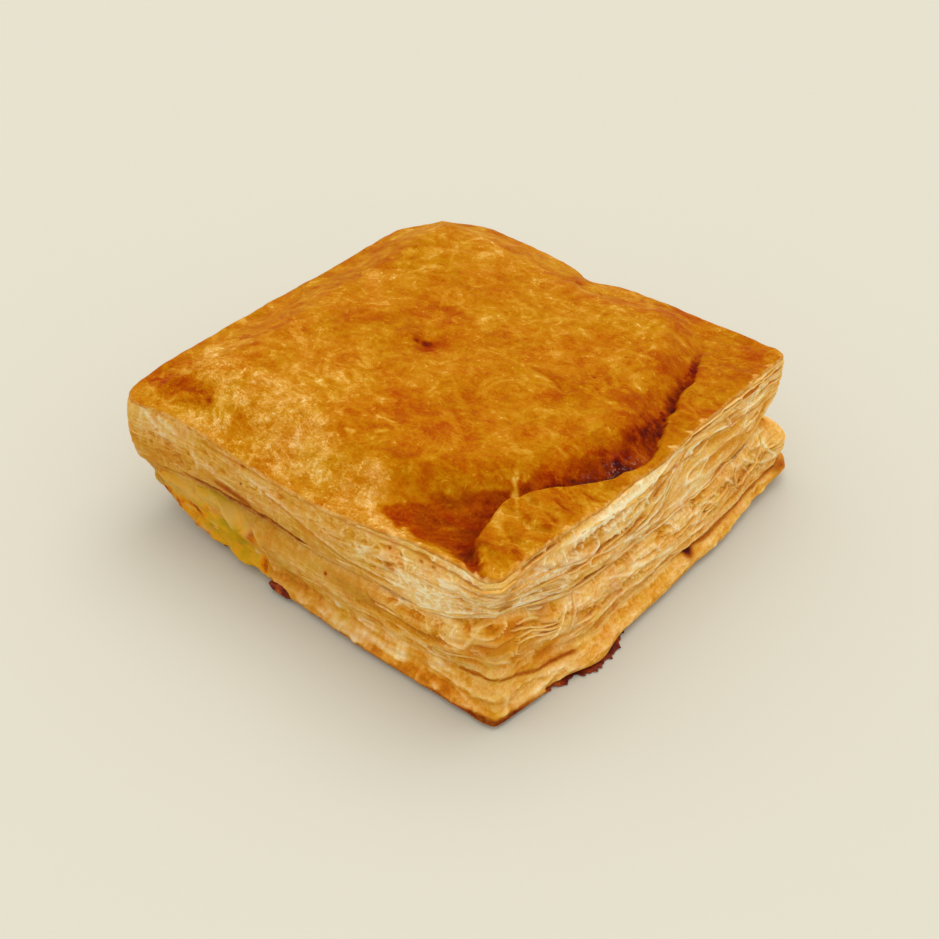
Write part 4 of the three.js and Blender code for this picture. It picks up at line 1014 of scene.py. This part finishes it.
# Melted cheese, run out over the lower sheet. Heights are x and z, in turn, along its top and bottom.
cheeseLook = {
    "from": -46, "to": -10.6, "across": 220, "down": 100, "thick": 0.6, "sunk": -1.4, "back": -48.5,
    "top": (
        -46, 14.4, -43, 15.6, -38, 16.2, -32, 16.4, -24, 16.4, -18, 15.9, -15, 13.6, -12.6, 9.6, -11.2, 5.6,
        -10.6, 4.4,
    ),
    "bottom": (
        -46, 8.4, -43, 6.4, -39, 4.2, -36, 3, -33, 1.8, -28, 1.2, -22, 1, -15, 1.4, -11.6, 2.6, -10.6, 3.4,
    ),
    # x, z, wide, high, how far the tone goes from olive to brown
    "tones": (
        (-19.2, 7.8, 2, 2, -0.1), (-23.6, 9.4, 5, 3.2, -0.26), (-40, 7.6, 4, 2, 0.28),
        (-34, 9.4, 3.4, 0.7, 0.42), (-29, 11.6, 2.4, 0.5, 0.3), (-17, 7.6, 3.6, 3.6, 0.06),
        (-12.4, 4.2, 1.4, 3, 0.4), (-44.6, 8.6, 2, 1.2, 0.4), (-36, 4, 4, 1, 0.4), (-24, 1.6, 8, 0.8, 0.22),
        (-30, 6.6, 2, 1.8, -0.16), (-14.6, 11, 0.9, 2.4, 0.3), (-26, 7.4, 0.8, 2.2, 0.18),
        (-20.5, 5.2, 1, 1.6, 0.22), (-33, 13.4, 5, 0.8, 0.1),
    ),
    # the same, how much cream has set on it; the spot at -27.6, 8.6 is a painted highlight
    "cream_and_highlight": (
        (-41, 12.6, 6, 2, 0.8), (-33, 13.6, 7, 1.8, 0.6), (-22, 14.4, 7, 1.3, 0.7),
        # the spot at -27.6, 8.6 is a painted highlight on the cheese
        (-20.3, 12.4, 1.5, 1.6, 0.7), (-31.4, 4.6, 2, 0.7, 0.7), (-27.6, 8.6, 1.6, 0.6, 0.6),
        (-36.4, 8.6, 1.4, 0.6, 0.5), (-16, 12.4, 1.4, 1.6, 0.5), (-14.4, 7.4, 0.6, 2, 0.5),
    ),
}


def placeCheese(u, row):
    look = cheeseLook
    rows = look["down"]
    fall = np.clip((row - 2) / (rows - 4), 0, 1)
    at = mix(look["from"], look["to"], u)
    topZ, bottomZ = (np.interp(at, *curve(look[key])) for key in ("top", "bottom"))
    z = mix(topZ, bottomZ + 0.35 * noise(at / 1.6, 3.3, 1), fall)
    e = edgeAt(onSealedSide(at + 0.5 * noise(at / 4, z / 4, 2)))
    low, high = lowerWall(e)
    inside = np.minimum(u, 1 - u) * (look["to"] - look["from"])
    inside = np.minimum(inside, np.minimum(fall, 1 - fall) * (topZ - bottomZ))
    swell = look["thick"] * smooth(0, 2.4, inside) - 0.5 * (1 - smooth(0, 0.7, inside))
    crease = bell(noise(at / 6 + z / 6, z / 3.4 - at / 9, 19), 0.13)
    folds = 1.7 * cloud(at / 5.5 + z / 4.5, z / 4, 6, 3) - 0.2 * crease + 0.12 * cloud(at / 1.4, z / 1.3, 3, 2)
    sunk = (row < 2) | (row > rows - 2) | (u < 0.001) | (u > 0.999)
    out = np.where(sunk, look["sunk"], swell + folds * smooth(0, 1.5, inside))
    x, y, pz = lowerSide(e, np.clip((z - low) / (high - low), 0, 1), out)
    pz = np.where(z < low, z, pz)
    y = np.where((row < 1) | (row > rows - 1), look["back"], y)
    wander = 0.8 * noise(at / 2.5, z / 2, 12)
    tone = 0.42 + bumps(look["tones"], at + wander, z + 0.6 * wander) + 0.32 * cloud(at / 4, z / 3, 13, 3)
    cream_and_highlight = bumps(look["cream_and_highlight"], at + wander, z + 0.5 * wander) + 0.25 * cloud(at / 2, z / 1.5, 14, 3)
    return np.stack([x, y, pz], -1), {"tone": tone, "cream_and_highlight": np.clip(cream_and_highlight, 0, 1)}


cheese = gridPiece("cheese_run", cheeseLook["across"], cheeseLook["down"], placeCheese)

# Slices between the sheets: cheese below, ham above, the ham's edge showing in the seam
sliceLook = {
    "half": 45.6, "wave": 0.08, "columns": 200, "rows": 20,
    "cheese": (16.3, 17.5),  # low, high
    "ham": (18, 18.9),
    "hamEdge": (  # as the rows of leafLook
        ("sealed", 0.55, 0.8, 0, -37, 17.7, -30, 17.6, -24, 17.8, -17, 17.9, -10, 18.2, -3, 18.4, 4, 18.4),
    ),
    "seed": 2,
}


def makeSlice(name, low, high):
    def place(u, row):
        v, share, _, _ = wallRows(row, sliceLook["rows"])
        e = edgeAt(spreadColumns(u))
        size = sliceLook["half"] / pastry["halfSide"] * share * (1 + 0.004 * np.sin(math.pi * v))
        z = mix(low, high, v) + sliceLook["wave"] * noise(e["x"] * share / 9, e["y"] * share / 9, 3)
        return np.stack([e["x"] * size, e["y"] * size, z], -1), {}
    return gridPiece(name, sliceLook["columns"], sliceLook["rows"], place)


cheeseSlice = makeSlice("cheese_slice", *sliceLook["cheese"])
hamSlice = makeSlice("ham_slice_inside", *sliceLook["ham"])
hamLeaves = drawnLeaves(sliceLook["hamEdge"], np.random.RandomState(sliceLook["seed"]))
hamEdge = leafPiece("ham_edge", upperWall, upperSide, hamLeaves)

# Burnt leavings: the skirt that ran out under the foot, and the crumb on the sealed side
burntLook = {
    "near": -52.5, "far": -6.5, "inner": 50, "thick": 0.75, "highest": 2.2, "columns": 260, "rows": 16,
    # y and x of its edge, in turn
    "reach": (
        -52.5, 53.6, -51.5, 54.6, -44, 54.5, -40.4, 56, -36.8, 57.4, -32, 58, -28.3, 59.9, -23.4, 60.1, -22,
        60.3, -16, 59, -11, 58.6, -8, 58, -6.5, 57.4,
    ),
    # middle and half size
    "crumb": ((-6.2, -53.1, 1.8, 3.9, 1.5, 1.3),),
    "bits": (
        (-29.6, -49.6, 0.7, 1.35, 0.72, 0.54), (-30.9, -49.2, 0.9, 0.9, 0.48, 0.36),
        (-27.6, -49.9, 0.5, 0.9, 0.48, 0.36),
    ),
}


def placeSkirt(u, row):
    look = burntLook
    at = mix(look["near"], look["far"], u)
    shape = 1.0 * cloud(at / 2.2, 0.4, 7, 3) + 1.1 * np.clip(noise(at / 0.7, 4.4, 2), 0, 1) - 0.5
    reach = np.interp(at, *curve(look["reach"])) - 0.2 + shape
    ends = np.sqrt(np.clip(np.sin(math.pi * u), 0, 1))
    turn = row / look["rows"] * 2 * math.pi
    across = 0.5 + 0.5 * np.cos(turn)
    x = mix(look["inner"], reach, across * mix(0.4, 1, ends))
    lump = 0.55 * cloud(at / 1.2, x / 1.2, 3, 2)
    z = np.clip(0.5 + 0.5 * np.sin(turn), 0, 1) * (look["thick"] + lump) * ends
    char = 0.5 + 0.5 * cloud(at / 3, x / 3, 4, 3)
    return np.stack([x, at, np.clip(z, 0, look["highest"])], -1), {"char": char}


skirt = gridPiece("burnt_skirt_crust", burntLook["columns"], burntLook["rows"], placeSkirt)


def makeLumps(name, lumps, seed):
    made = bmesh.new()
    points = []
    for k, lump in enumerate(lumps):
        ball = bmesh.ops.create_icosphere(made, subdivisions=4, radius=1)["verts"]
        unit = placesOf(ball)
        x, y, z = unit.T * 1.6
        swell = 1 + 0.28 * cloud(x + 5 * k, y, z + seed, 3)
        spot = unit * swell[:, None] * lump[3:] + lump[:3]
        spot[:, 2] = np.maximum(spot[:, 2], 0)
        points.append(spot)
    points = np.concatenate(points)
    x, y, z = points.T / 1.6
    return finishPiece(name, meshFrom(made, name), points, {"char": 0.5 + 0.5 * cloud(x, y, z, 3)})


crumb = makeLumps("burnt_crumb_lump", burntLook["crumb"], 3)
bits = makeLumps("toasted_bits", burntLook["bits"], 8)


# Materials
def linear(hexColour):
    parts = [int(hexColour[k:k + 2], 16) / 255 for k in (1, 3, 5)]
    return (*[c / 12.92 if c <= 0.04045 else ((c + 0.055) / 1.055) ** 2.4 for c in parts], 1.0)


# Adds a node and returns one of its outputs. A socket is linked or set, a hex value is a colour.
def addNode(tree, kind, sockets=(), out=0, ramp=(), **properties):
    node = tree.nodes.new("ShaderNode" + kind)
    for key, value in properties.items():
        setattr(node, key, value)
    for key, value in (sockets.items() if isinstance(sockets, dict) else enumerate(sockets)):
        if isinstance(value, bpy.types.NodeSocket):
            tree.links.new(value, node.inputs[key])
        else:
            node.inputs[key].default_value = linear(value) if isinstance(value, str) else value
    if ramp:
        elements = node.color_ramp.elements
        while len(elements) < len(ramp):
            elements.new(0.5)
        for element, (place, colour) in zip(elements, ramp):
            element.position = place
            element.color = linear(colour)
    return node.outputs[out]


# A material with its shader's constants, its node tree and the place on the object. Of the light,
# the share glow goes in and comes out glowDeep metres away, in glowColour.
def newMaterial(name, rough, gloss, glow=0, glowDeep=0, glowColour=(1, 0.2, 0.1)):
    material = bpy.data.materials.new(name)
    material.use_nodes = True
    for key, value in (
        ("Roughness", rough), ("Specular IOR Level", gloss), ("Subsurface Weight", glow),
        ("Subsurface Scale", glowDeep), ("Subsurface Radius", glowColour),
    ):
        material.node_tree.nodes["Principled BSDF"].inputs[key].default_value = value
    return material, material.node_tree, addNode(material.node_tree, "TexCoord", out="Object")


def finishMaterial(material, colour, height, strength, distance=0.0005):
    tree = material.node_tree
    bump = addNode(tree, "Bump", {"Strength": strength, "Distance": distance, "Height": height})
    for source, key in ((colour, "Base Color"), (bump, "Normal")):
        tree.links.new(source, tree.nodes["Principled BSDF"].inputs[key])
    return material


# Egg-washed puff pastry, baked: amber, mottled, hardly glossy, darker where the oven caught it, with a painted
# sheen on the burnt fold
def eggWashedCrust():
    material, tree, place = newMaterial(
        "egg_washed_crust", rough=0.5, gloss=0.01, glow=0.1, glowDeep=0.0005, glowColour=(1, 0.4, 0.1))
    painted = ("browned", "rim", "painted_sheen", "flaky")
    level, rim, painted_sheen, flaky = (addNode(tree, "Attribute", out="Fac", attribute_name=key) for key in painted)
    turned = addNode(tree, "Mapping", {"Rotation": (0, 0, 0.6), "Scale": (1, 2.6, 1), "Vector": place})
    # blisters from 4 mm down to 0.3 mm, streaks of 1 mm where the dough was rolled, specks of 0.6 mm
    mottle = addNode(tree, "TexNoise", {
        "Vector": place, "Scale": 260, "Detail": 5, "Roughness": 0.78, "Distortion": 0.8})
    streak = addNode(tree, "TexNoise", {
        "Vector": turned, "Scale": 330, "Detail": 4, "Roughness": 0.7, "Distortion": 0.4})
    speck = addNode(tree, "TexNoise", {"Vector": place, "Scale": 1600, "Detail": 1})
    for source, share in ((mottle, 0.4), (streak, 0.16), (speck, 0.16)):
        level = addNode(tree, "Math", (source, share, level), operation="MULTIPLY_ADD")
    level = addNode(tree, "Math", (level, 0.295), operation="SUBTRACT")
    # paler plates of glaze 5 mm wide with clear edges, and light flecks of 0.8 mm where it has chipped
    plates = ((130, 6, 1.8, 0.53, 16, -0.1), (620, 2, 0.8, 0.63, 12, -0.16))
    for scale, detail, bent, edge, steep, share in plates:
        plate = addNode(tree, "TexNoise", {
            "Vector": place, "Scale": scale, "Detail": detail, "Roughness": 0.62, "Distortion": bent})
        plate = addNode(tree, "Math", (plate, steep, -steep * edge), operation="MULTIPLY_ADD", use_clamp=True)
        level = addNode(tree, "Math", (plate, share, level), operation="MULTIPLY_ADD")
    # pale veins where the glaze has cracked, 0.3 mm wide
    vein = addNode(tree, "TexNoise", {
        "Vector": turned, "Scale": 480, "Detail": 3, "Roughness": 0.6, "Distortion": 1.2})
    vein = addNode(tree, "Math", (vein, 0.5), operation="SUBTRACT")
    vein = addNode(tree, "Math", (vein,), operation="ABSOLUTE")
    vein = addNode(tree, "Math", (vein, -18, 1), operation="MULTIPLY_ADD", use_clamp=True)
    vein = addNode(tree, "Math", (vein, flaky), operation="MULTIPLY")
    level = addNode(tree, "Math", (vein, -0.14, level), operation="MULTIPLY_ADD")
    colour = addNode(tree, "ValToRGB", (level,), ramp=(
        (0, "#ddb87d"), (0.144, "#ce9849"), (0.24, "#c08429"), (0.32, "#b57310"), (0.4, "#ad6602"),
        (0.465, "#a65900"), (0.53, "#9f4900"), (0.65, "#913400"), (0.78, "#7b1f00"), (0.89, "#5f1103"),
        (1, "#3c0a0c")))
    # the egg wash has pooled: more olive where it lies thick, more orange where it is thin
    pool = addNode(tree, "TexNoise", {
        "Vector": place, "Scale": 75, "Detail": 4, "Roughness": 0.6, "Distortion": 1.2})
    pool = addNode(tree, "Math", (pool, 0.042, 0.483), operation="MULTIPLY_ADD")
    colour = addNode(tree, "HueSaturation", {"Hue": pool, "Value": 0.94, "Color": colour})
    # the leaves of the rim show cream where the wash didn't reach; greyish specks on the burnt fold are a
    # painted sheen
    layered = addNode(tree, "ValToRGB", (mottle,), ramp=(
        (0.34, "#ae6417"), (0.5, "#c48936"), (0.66, "#e0bb77")))
    colour = addNode(tree, "Mix", {0: rim, 6: colour, 7: layered}, out=2, data_type="RGBA")
    # specks of painted sheen on the burnt fold, in greyish pink
    sheenSpecks = addNode(tree, "Math", (speck, 4, -2.2), operation="MULTIPLY_ADD")
    sheenSpecks = addNode(tree, "Math", (sheenSpecks, painted_sheen), operation="MULTIPLY", use_clamp=True)
    colour = addNode(tree, "Mix", {0: sheenSpecks, 6: colour, 7: "#a07a70"}, out=2, data_type="RGBA")
    height = addNode(tree, "Math", (mottle, streak), operation="ADD")
    return finishMaterial(material, colour, height, 0.55)


# Baked dough in layers: dry cream threads over golden, slightly translucent pockets, toasted in places. Painted
# shade lies in the seam, between the leaves and on the closed sides, and a few pale threads are painted
# highlights.
def bakedLayers(name):
    material, tree, place = newMaterial(
        name, rough=0.6, gloss=0.06, glow=0.35, glowDeep=0.0008, glowColour=(1, 0.5, 0.15))
    flow = addNode(tree, "Attribute", out="Vector", attribute_name="flow")
    painted = ("pale", "oil_and_shade", "toast_and_shade")
    level, oil_and_shade, toast_and_shade = (addNode(tree, "Attribute", out="Fac", attribute_name=key) for key in painted)
    combed = addNode(tree, "Mapping", {"Scale": (0.42, 1.5, 0.42), "Vector": flow})
    # fibres 0.6 mm apart along the layers, lace of 1 mm, crumbs of 0.4 mm
    fibre = addNode(tree, "TexNoise", {
        "Vector": combed, "Scale": 1, "Detail": 4, "Roughness": 0.65, "Distortion": 0.5})
    lace = addNode(tree, "TexNoise", {
        "Vector": place, "Scale": 950, "Detail": 4, "Roughness": 0.7, "Distortion": 0.8})
    crumbs = addNode(tree, "TexNoise", {"Vector": place, "Scale": 2300, "Detail": 2})
    for source, share in ((fibre, 0.42), (lace, 0.55), (crumbs, 0.3)):
        level = addNode(tree, "Math", (source, share, level), operation="MULTIPLY_ADD")
    level = addNode(tree, "Math", (level, 0.635), operation="SUBTRACT")
    colour = addNode(tree, "ValToRGB", (level,), ramp=(
        (0, "#b56202"), (0.2, "#c87a0e"), (0.36, "#d28d24"), (0.5, "#d99d45"), (0.64, "#e0ac5d"),
        (0.8, "#e7be7e"), (1, "#ead8ae")))
    # fat stains, and painted shade on the closed sides, in a darker yellow
    colour = addNode(tree, "Mix", {0: oil_and_shade, 6: colour, 7: "#b07f27"}, out=2, data_type="RGBA")
    rough = addNode(tree, "Math", (lace, 1, 0.5), operation="MULTIPLY_ADD")
    # toast, and the painted shade in the seam, in browns
    toast_and_shade = addNode(tree, "Math", (toast_and_shade, rough), operation="MULTIPLY")
    brown = addNode(tree, "ValToRGB", (toast_and_shade,), ramp=(
        (0, "#c1852a"), (0.25, "#b86f14"), (0.5, "#a55208"), (0.75, "#712506"), (1, "#420d08")))
    amount = addNode(tree, "Math", (toast_and_shade, 3), operation="MULTIPLY", use_clamp=True)
    colour = addNode(tree, "Mix", {0: amount, 6: colour, 7: brown}, out=2, data_type="RGBA")
    # the fat has run unevenly, in spots of 6 mm: olive in places, orange in others
    fat = addNode(tree, "TexNoise", {
        "Vector": place, "Scale": 170, "Detail": 4, "Roughness": 0.65, "Distortion": 1})
    fat = addNode(tree, "Math", (fat, 0.05, 0.477), operation="MULTIPLY_ADD")
    colour = addNode(tree, "HueSaturation", {"Hue": fat, "Color": colour})
    height = addNode(tree, "Math", (fibre, lace), operation="ADD")
    return finishMaterial(material, colour, height, 0.8)


# Semi-hard cheese, melted and set: yellow and translucent, olive where it is thick, toasted at its edge
def meltedCheese():
    material, tree, place = newMaterial(
        "melted_cheese", rough=0.45, gloss=0.03, glow=0.2, glowDeep=0.001, glowColour=(1, 0.6, 0.1))
    level, cream_and_highlight = (addNode(tree, "Attribute", out="Fac", attribute_name=key) for key in ("tone", "cream_and_highlight"))
    # blisters and grease from 2 mm down to 0.1 mm
    patch = addNode(tree, "TexNoise", {"Vector": place, "Scale": 520, "Detail": 6, "Roughness": 0.75})
    level = addNode(tree, "Math", (patch, 0.9, level), operation="MULTIPLY_ADD")
    level = addNode(tree, "Math", (level, 0.45), operation="SUBTRACT")
    colour = addNode(tree, "ValToRGB", (level,), ramp=(
        (0, "#977c00"), (0.22, "#b38c09"), (0.45, "#ca8f16"), (0.62, "#ca7b00"), (0.8, "#a64d00"),
        (1, "#682300")))
    # set cream, and one painted highlight, in pale yellow
    colour = addNode(tree, "Mix", {0: cream_and_highlight, 6: colour, 7: "#c59b4b"}, out=2, data_type="RGBA")
    return finishMaterial(material, colour, patch, 0.6)


# Cooked ham, baked dry at its edge: reddish brown, slightly moist, fibres of 2 mm
def bakedHam():
    material, tree, place = newMaterial("baked_ham", rough=0.45, gloss=0.12, glow=0.25, glowDeep=0.001)
    fibre = addNode(tree, "TexNoise", {"Vector": place, "Scale": 500, "Detail": 4})
    colour = addNode(tree, "ValToRGB", (fibre,), ramp=((0.35, "#7e3806"), (0.55, "#98540e"), (0.7, "#b47626")))
    return finishMaterial(material, colour, fibre, 0.3, 0.0003)


# Filling burnt to the tray: hard caramelised sugar and fat, maroon to amber, with a broken gloss
def burntFilling():
    material, tree, place = newMaterial("burnt_filling", rough=0.45, gloss=0.12, glow=0.15, glowDeep=0.0008)
    char = addNode(tree, "Attribute", out="Fac", attribute_name="char")
    crackle = addNode(tree, "TexNoise", {"Vector": place, "Scale": 700, "Detail": 5, "Roughness": 0.65})
    level = addNode(tree, "Math", (crackle, 0.6, -0.3), operation="MULTIPLY_ADD")
    level = addNode(tree, "Math", (level, char), operation="ADD")
    colour = addNode(tree, "ValToRGB", (level,), ramp=(
        (0.1, "#340802"), (0.4, "#601604"), (0.65, "#862e06"), (0.88, "#b06010")))
    return finishMaterial(material, colour, crackle, 0.7, 0.0004)


cheeseFinish, hamFinish, burntFinish = meltedCheese(), bakedHam(), burntFilling()
upperFinish, lowerFinish = bakedLayers("upper_baked_layers"), bakedLayers("lower_baked_layers")
for piece, finish, slot, node in (
    (crust, eggWashedCrust(), "browned_pastry", "upper_sheet"),
    (upperLayers, upperFinish, "browned_pastry", "upper_sheet"),
    (upperLeaves, upperFinish, "browned_pastry", "upper_sheet"),
    (lowerLayers, lowerFinish, "pale_pastry", "lower_sheet"),
    (lowerLeaves, lowerFinish, "pale_pastry", "lower_sheet"),
    (cheese, cheeseFinish, "melted_cheese", "cheese"),
    (cheeseSlice, cheeseFinish, "melted_cheese", "cheese"),
    (hamSlice, hamFinish, "cooked_ham", "ham_slice"),
    (hamEdge, hamFinish, "cooked_ham", "ham_slice"),
    (skirt, burntFinish, "burnt_filling", "burnt_skirt"),
    (crumb, burntFinish, "burnt_filling", "burnt_crumb"),
    (bits, burntFinish, "burnt_filling", "burnt_skirt"),
):
    piece.data.materials.append(finish)
    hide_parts(node)
print("stage: materials")

# Floor, light and camera
stageLook = {
    "floor": "#bfbcb0", "floorHalf": 4, "sky": "#fdfbf4", "skyStrength": 1.3,
    "sunFrom": (-0.1, 0.48, 1), "sunStrength": 0.95, "sunSpread": 50,
    "lens": 60.19, "cameraAt": (186.46, -219.29, 231.58), "lookAt": (9.765, -9.45, 16.485),
}


def makeFloor():
    made = bmesh.new()
    bmesh.ops.create_grid(made, x_segments=1, y_segments=1, size=stageLook["floorHalf"])
    floor = bpy.data.objects.new("floor", meshFrom(made, "floor"))
    bpy.context.collection.objects.link(floor)
    material, tree, _ = newMaterial("matt_paper_floor", rough=0.9, gloss=0)
    tree.nodes["Principled BSDF"].inputs["Base Color"].default_value = linear(stageLook["floor"])
    floor.data.materials.append(material)


def makeLight():
    world = bpy.data.worlds.new("studio")
    bpy.context.scene.world = world
    world.use_nodes = True
    background = world.node_tree.nodes["Background"]
    background.inputs[0].default_value = linear(stageLook["sky"])
    background.inputs[1].default_value = stageLook["skyStrength"]
    lamp = bpy.data.lights.new("softbox", "SUN")
    lamp.energy = stageLook["sunStrength"]
    lamp.angle = math.radians(stageLook["sunSpread"])
    softbox = bpy.data.objects.new("softbox", lamp)
    softbox.rotation_euler = Vector(stageLook["sunFrom"]).to_track_quat("Z", "Y").to_euler()
    bpy.context.collection.objects.link(softbox)


def makeCamera():
    lens = bpy.data.cameras.new("camera")
    lens.lens = stageLook["lens"]
    lens.sensor_width = 36
    lens.clip_start, lens.clip_end = 0.01, 20
    camera = bpy.data.objects.new("camera", lens)
    bpy.context.collection.objects.link(camera)
    shift = Vector((*pastry["shift"], 0))
    place, target = (Vector(stageLook[key]) + shift for key in ("cameraAt", "lookAt"))
    camera.location = place * mm
    camera.rotation_euler = (target - place).to_track_quat("-Z", "Y").to_euler()
    bpy.context.scene.camera = camera


makeFloor()
makeLight()
makeCamera()
bpy.context.scene.view_settings.view_transform = "Standard"
print("stage: floor, light and camera")
